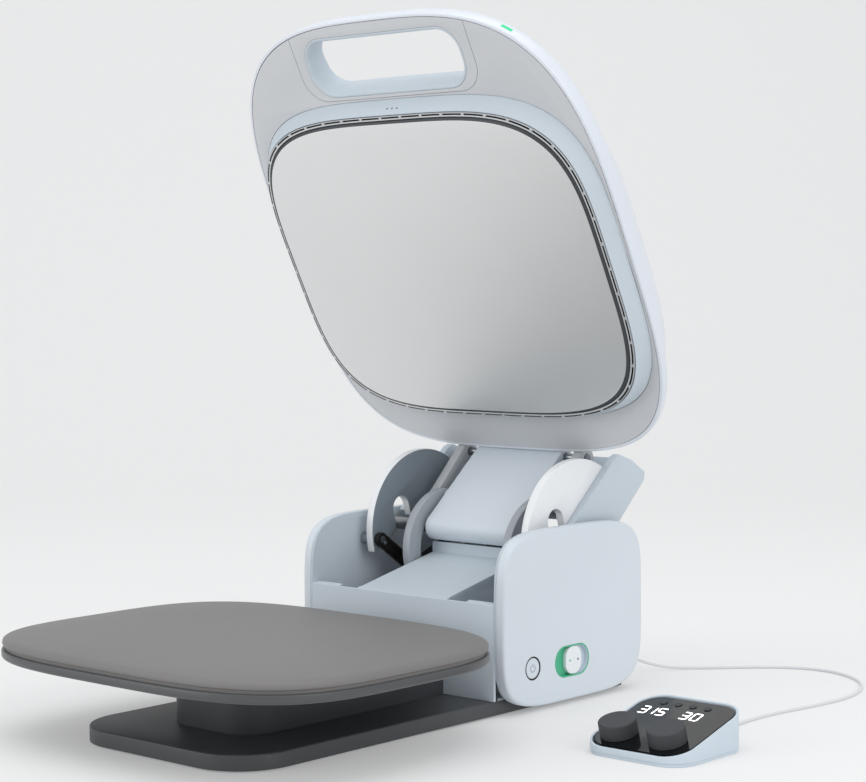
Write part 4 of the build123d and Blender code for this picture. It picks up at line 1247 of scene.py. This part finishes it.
    def plate_shape(self, grow: float) -> Outline:
        """Heat plate outline moved out by grow."""
        return superellipse(self.plate_x + grow, self.plate_y + grow, self.plate_y + grow,
                            self.plate_power, self.plate_power, 0.0, 160)

    def bezel_shape(self, grow: float) -> Outline:
        """Outer outline of the bezel moved out by grow."""
        return superellipse(self.bezel_x + grow, self.bezel_y + grow, self.bezel_y + grow,
                            self.plate_power, self.plate_power, self.bezel_mid, 160)

    def bezel(self) -> bpy.types.Object:
        """Pale ring that slopes from the vented frame back to the rim.

        Returns:
            The ring.
        """
        plane = self.plane()
        outer, inner = self.bezel_shape(-0.3), self.plate_shape(4.9)
        rings = [plane.ring(outer, 19.0), plane.ring(outer, 17.2)]
        for share in (0.03, 0.1, 0.25, 0.5, 0.75, 0.9, 0.97):
            mixed = [(a[0] + (b[0] - a[0]) * share, a[1] + (b[1] - a[1]) * share)
                     for a, b in zip(outer, inner)]
            rings.append(plane.ring(mixed, 17.0 - 13.9 * share))
        rings += [plane.ring(inner, 3.05), plane.ring(self.plate_shape(4.4), 3.3),
                  plane.ring(self.plate_shape(4.25), 4.0), plane.ring(self.plate_shape(4.25), 19.0)]
        ring = loft("bezel_moulding", rings, closed=True, sharp=70.0)
        return worn(ring, "lid", LINER_ABS, "bezel_ring")

    def vent_frame(self) -> None:
        """Bright frame round the plate, with a slotted channel bridged at even steps."""
        plane = self.plane()
        edge = [(6.4, 0.35), (1.7, 0.35), (1.45, 0.6), (1.45, 1.5), (1.7, 1.75), (3.6, 1.75),
                (3.6, 3.25), (2.0, 3.25), (2.0, 3.85), (6.4, 3.85)]
        ring = loft("vent_frame", [plane.ring(self.plate_shape(g), z) for z, g in edge],
                    closed=True, sharp=40.0)
        worn(ring, "lid", None, "vent_ring")
        # The slot channel's inner wall and floor take black: painted shade of the slots.
        ring.data.materials.append(BLACK_ABS_AND_SLOT_SHADE.material())
        count = len(self.plate_shape(0.0))
        for index, face in enumerate(ring.data.polygons):
            if index // count in (4, 5):
                face.material_index = 1
        path = evenly(self.plate_shape(2.5), 10 * self.bridges)
        places = []
        for index in range(0, len(path), 10):
            a, b = path[index - 1], path[(index + 1) % len(path)]
            along = plane.across * (b[0] - a[0]) + plane.up * (b[1] - a[1])
            places.append(facing(plane.at(*path[index], 3.65), -plane.out, along))
        flat = Plane3(Vector((0, 0, 0)), Vector((1, 0, 0)), Vector((0, 1, 0)), Vector((0, 0, 1)))
        bridge = loft("bridge", [flat.ring(rounded_rect(1.5, 0.85, 0.3, steps=2), z)
                                 for z in (0.0, 1.7)])
        Repeater().build(bridge, places, "lid", VENT_STEEL, "vent_bridges")

    def plate(self) -> bpy.types.Object:
        """Heat plate: bright working face, with painted shade on its rolled edge and side.

        Returns:
            The plate.
        """
        plane = self.plane()
        edge = [(0.0, -24.0), (0.0, -3.4), (0.04, -2.7), (0.45, -1.7), (1.2, -0.75), (2.0, -0.2),
                (2.6, 0.0), (9.6, 0.0), (10.0, -0.4), (10.0, -20.0)]
        plate = loft("heat_plate_casting", [plane.ring(self.plate_shape(g), z) for z, g in edge],
                     sharp=60.0)
        worn(plate, "lid", PLATE, "heat_plate")
        # Second slot: painted shade, dark on the rolled edge and side.
        plate.data.materials.append(PLATE_EDGE_SHADE.material())
        count = len(self.plate_shape(0.0))
        for index, face in enumerate(plate.data.polygons):
            if 2 <= index // count <= 6:
                face.material_index = 1
        return plate

    def status_lens(self) -> None:
        """Green lens in the lid's edge, level with the soft outer form."""
        lens = softened("status_light", 0.3)
        x = self.light_u / self.levels[0][1]
        y = (1 - x ** self.power_up) ** (1 / self.power_up)
        plane = self.plane()
        out = (plane.across * x ** (self.power_up - 1) / self.levels[0][1]
               + plane.up * y ** (self.power_up - 1) / self.levels[0][2]).normalized()
        lens.data.transform(Matrix.Translation(out * self.light_lift * MM))

    def handle_seam(self) -> None:
        """Fine parting line of the handle section, and three small sensor dots."""
        plane = self.plane()
        half, low, corner, top = 106.0, 169.0, 25.0, 233.0
        turns = [math.pi / 2 * i / 10 for i in range(11)]
        right = [(half - corner + corner * math.cos(-t), low + corner + corner * math.sin(-t))
                 for t in turns]
        path = [(half, top), *right, *[(-x, y) for x, y in reversed(right)], (-half, top)]
        wide = 0.22
        sides = []
        for index, (x, y) in enumerate(path):
            ax, ay = path[max(index - 1, 0)]
            bx, by = path[min(index + 1, len(path) - 1)]
            size = math.dist((ax, ay), (bx, by))
            sides.append(((bx - ax) / size, (by - ay) / size, x, y))
        verts, faces = [], []
        for dx, dy, x, y in sides:
            for z in (17.1, 16.95):
                verts += [plane.at(x - dy * wide, y + dx * wide, z),
                          plane.at(x + dy * wide, y - dx * wide, z)]
        for k in range(len(path) - 1):
            a, b = 4 * k, 4 * (k + 1)
            faces += [(a, b, b + 1, a + 1), (a + 2, a + 3, b + 3, b + 2), (a, a + 2, b + 2, b),
                      (a + 1, b + 1, b + 3, a + 3)]
        faces += [(0, 1, 3, 2), (len(verts) - 4, len(verts) - 2, len(verts) - 1, len(verts) - 3)]
        worn(new_piece("handle_seam", verts, faces), "lid", ICON_INK)
        for index, x in enumerate((-6.0, 0.0, 6.0)):
            dot = [(x + 0.7 * math.cos(2 * math.pi * i / 16),
                    161.0 + 0.7 * math.sin(2 * math.pi * i / 16)) for i in range(16)]
            worn(loft(f"sensor_dot_{index + 1}", [plane.ring(dot, z) for z in (8.0, 12.0)]),
                 "lid", ICON_INK)

    def build(self) -> None:
        """Make the lid group."""
        self.shell()
        self.handle_liner()
        self.status_lens()
        self.bezel()
        self.vent_frame()
        self.plate()
        self.handle_seam()
        softened("lid_rim", 0.5)


# ------------------------------------------------------------------ pod
@dataclass
class Pod:
    """Control pod: display digits and the softened shell and base."""
    slope: float = 15.5
    middle: float = 21.5
    row: float = 20.6
    segment: float = 0.62
    digit_half: float = 3.4
    digit_tall: float = 6.0

    def plane(self) -> Plane3:
        """Plane of the window, origin over the middle of the pod.

        Returns:
            The plane.
        """
        low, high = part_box("pod_base")
        mid = (low + high) / 2
        turn = math.radians(self.slope)
        return Plane3(Vector((mid.x, mid.y, self.middle * MM)), Vector((1, 0, 0)),
                      Vector((0, math.cos(turn), math.sin(turn))),
                      Vector((0, -math.sin(turn), math.cos(turn))))

    def digit(self, value: str, x: float, y: float, lean: float = 0.0) -> None:
        """One seven-segment figure.

        Args:
            value: The figure.
            x: Centre across the window.
            y: Centre up the window.
            lean: Reserved slant, in millimetres over the height.
        """
        lit = {"0": "abcdef", "1": "bc", "2": "abged", "3": "abgcd", "5": "afgcd"}[value]
        w, h, t = self.digit_half, self.digit_tall, self.segment
        bars = {"a": (0, h, 1), "g": (0, 0, 1), "d": (0, -h, 1), "f": (-w, h / 2, 0),
                "b": (w, h / 2, 0), "e": (-w, -h / 2, 0), "c": (w, -h / 2, 0)}
        verts, faces = [], []
        plane = self.plane()
        for key in lit:
            cx, cy, flat = bars[key]
            hx, hy = (w - t * 0.7, t) if flat else (t, h / 2 - t * 0.7)
            start = len(verts)
            for z in (-0.15, 0.05):
                for sx, sy in ((-1, -1), (1, -1), (1, 1), (-1, 1)):
                    verts.append(plane.at(x + cx + sx * hx + lean * cy, y + cy + sy * hy, z))
            faces += [tuple(start + i for i in f) for f in (
                (0, 1, 2, 3), (4, 5, 6, 7), (0, 1, 5, 4), (1, 2, 6, 5), (2, 3, 7, 6), (3, 0, 4, 7))]
        piece = new_piece(f"figure_{value}_{round(x * 10) + 1000}", verts, faces)
        worn(piece, "base", DIGIT_GLOW)

    def build(self) -> None:
        """Make the pod group."""
        for value, x in (("3", -34.5), ("1", -27.0), ("5", -17.0), ("3", 7.0), ("0", 17.5)):
            self.digit(value, x, self.row)
        softened("pod_shell", 1.2)
        softened("pod_base", 0.6)


def dress_nodes() -> None:
    """Give every carried-over CAD node its finish."""
    for finish, names in NODE_FINISHES.items():
        for name in names:
            data = frame["nodes"][name].data
            data.materials.clear()
            data.materials.append(finish.material())


def main() -> None:
    """Build the press, group by group."""
    logging.basicConfig(level=logging.INFO, format="%(message)s")
    Studio().build()
    ControlCable().build()
    dress_nodes()
    for group in (Platen(), Body(), Neck(), Lid(), Pod()):
        log.info("building %s", type(group).__name__)
        group.build()


if __name__ == "__main__":
    main()
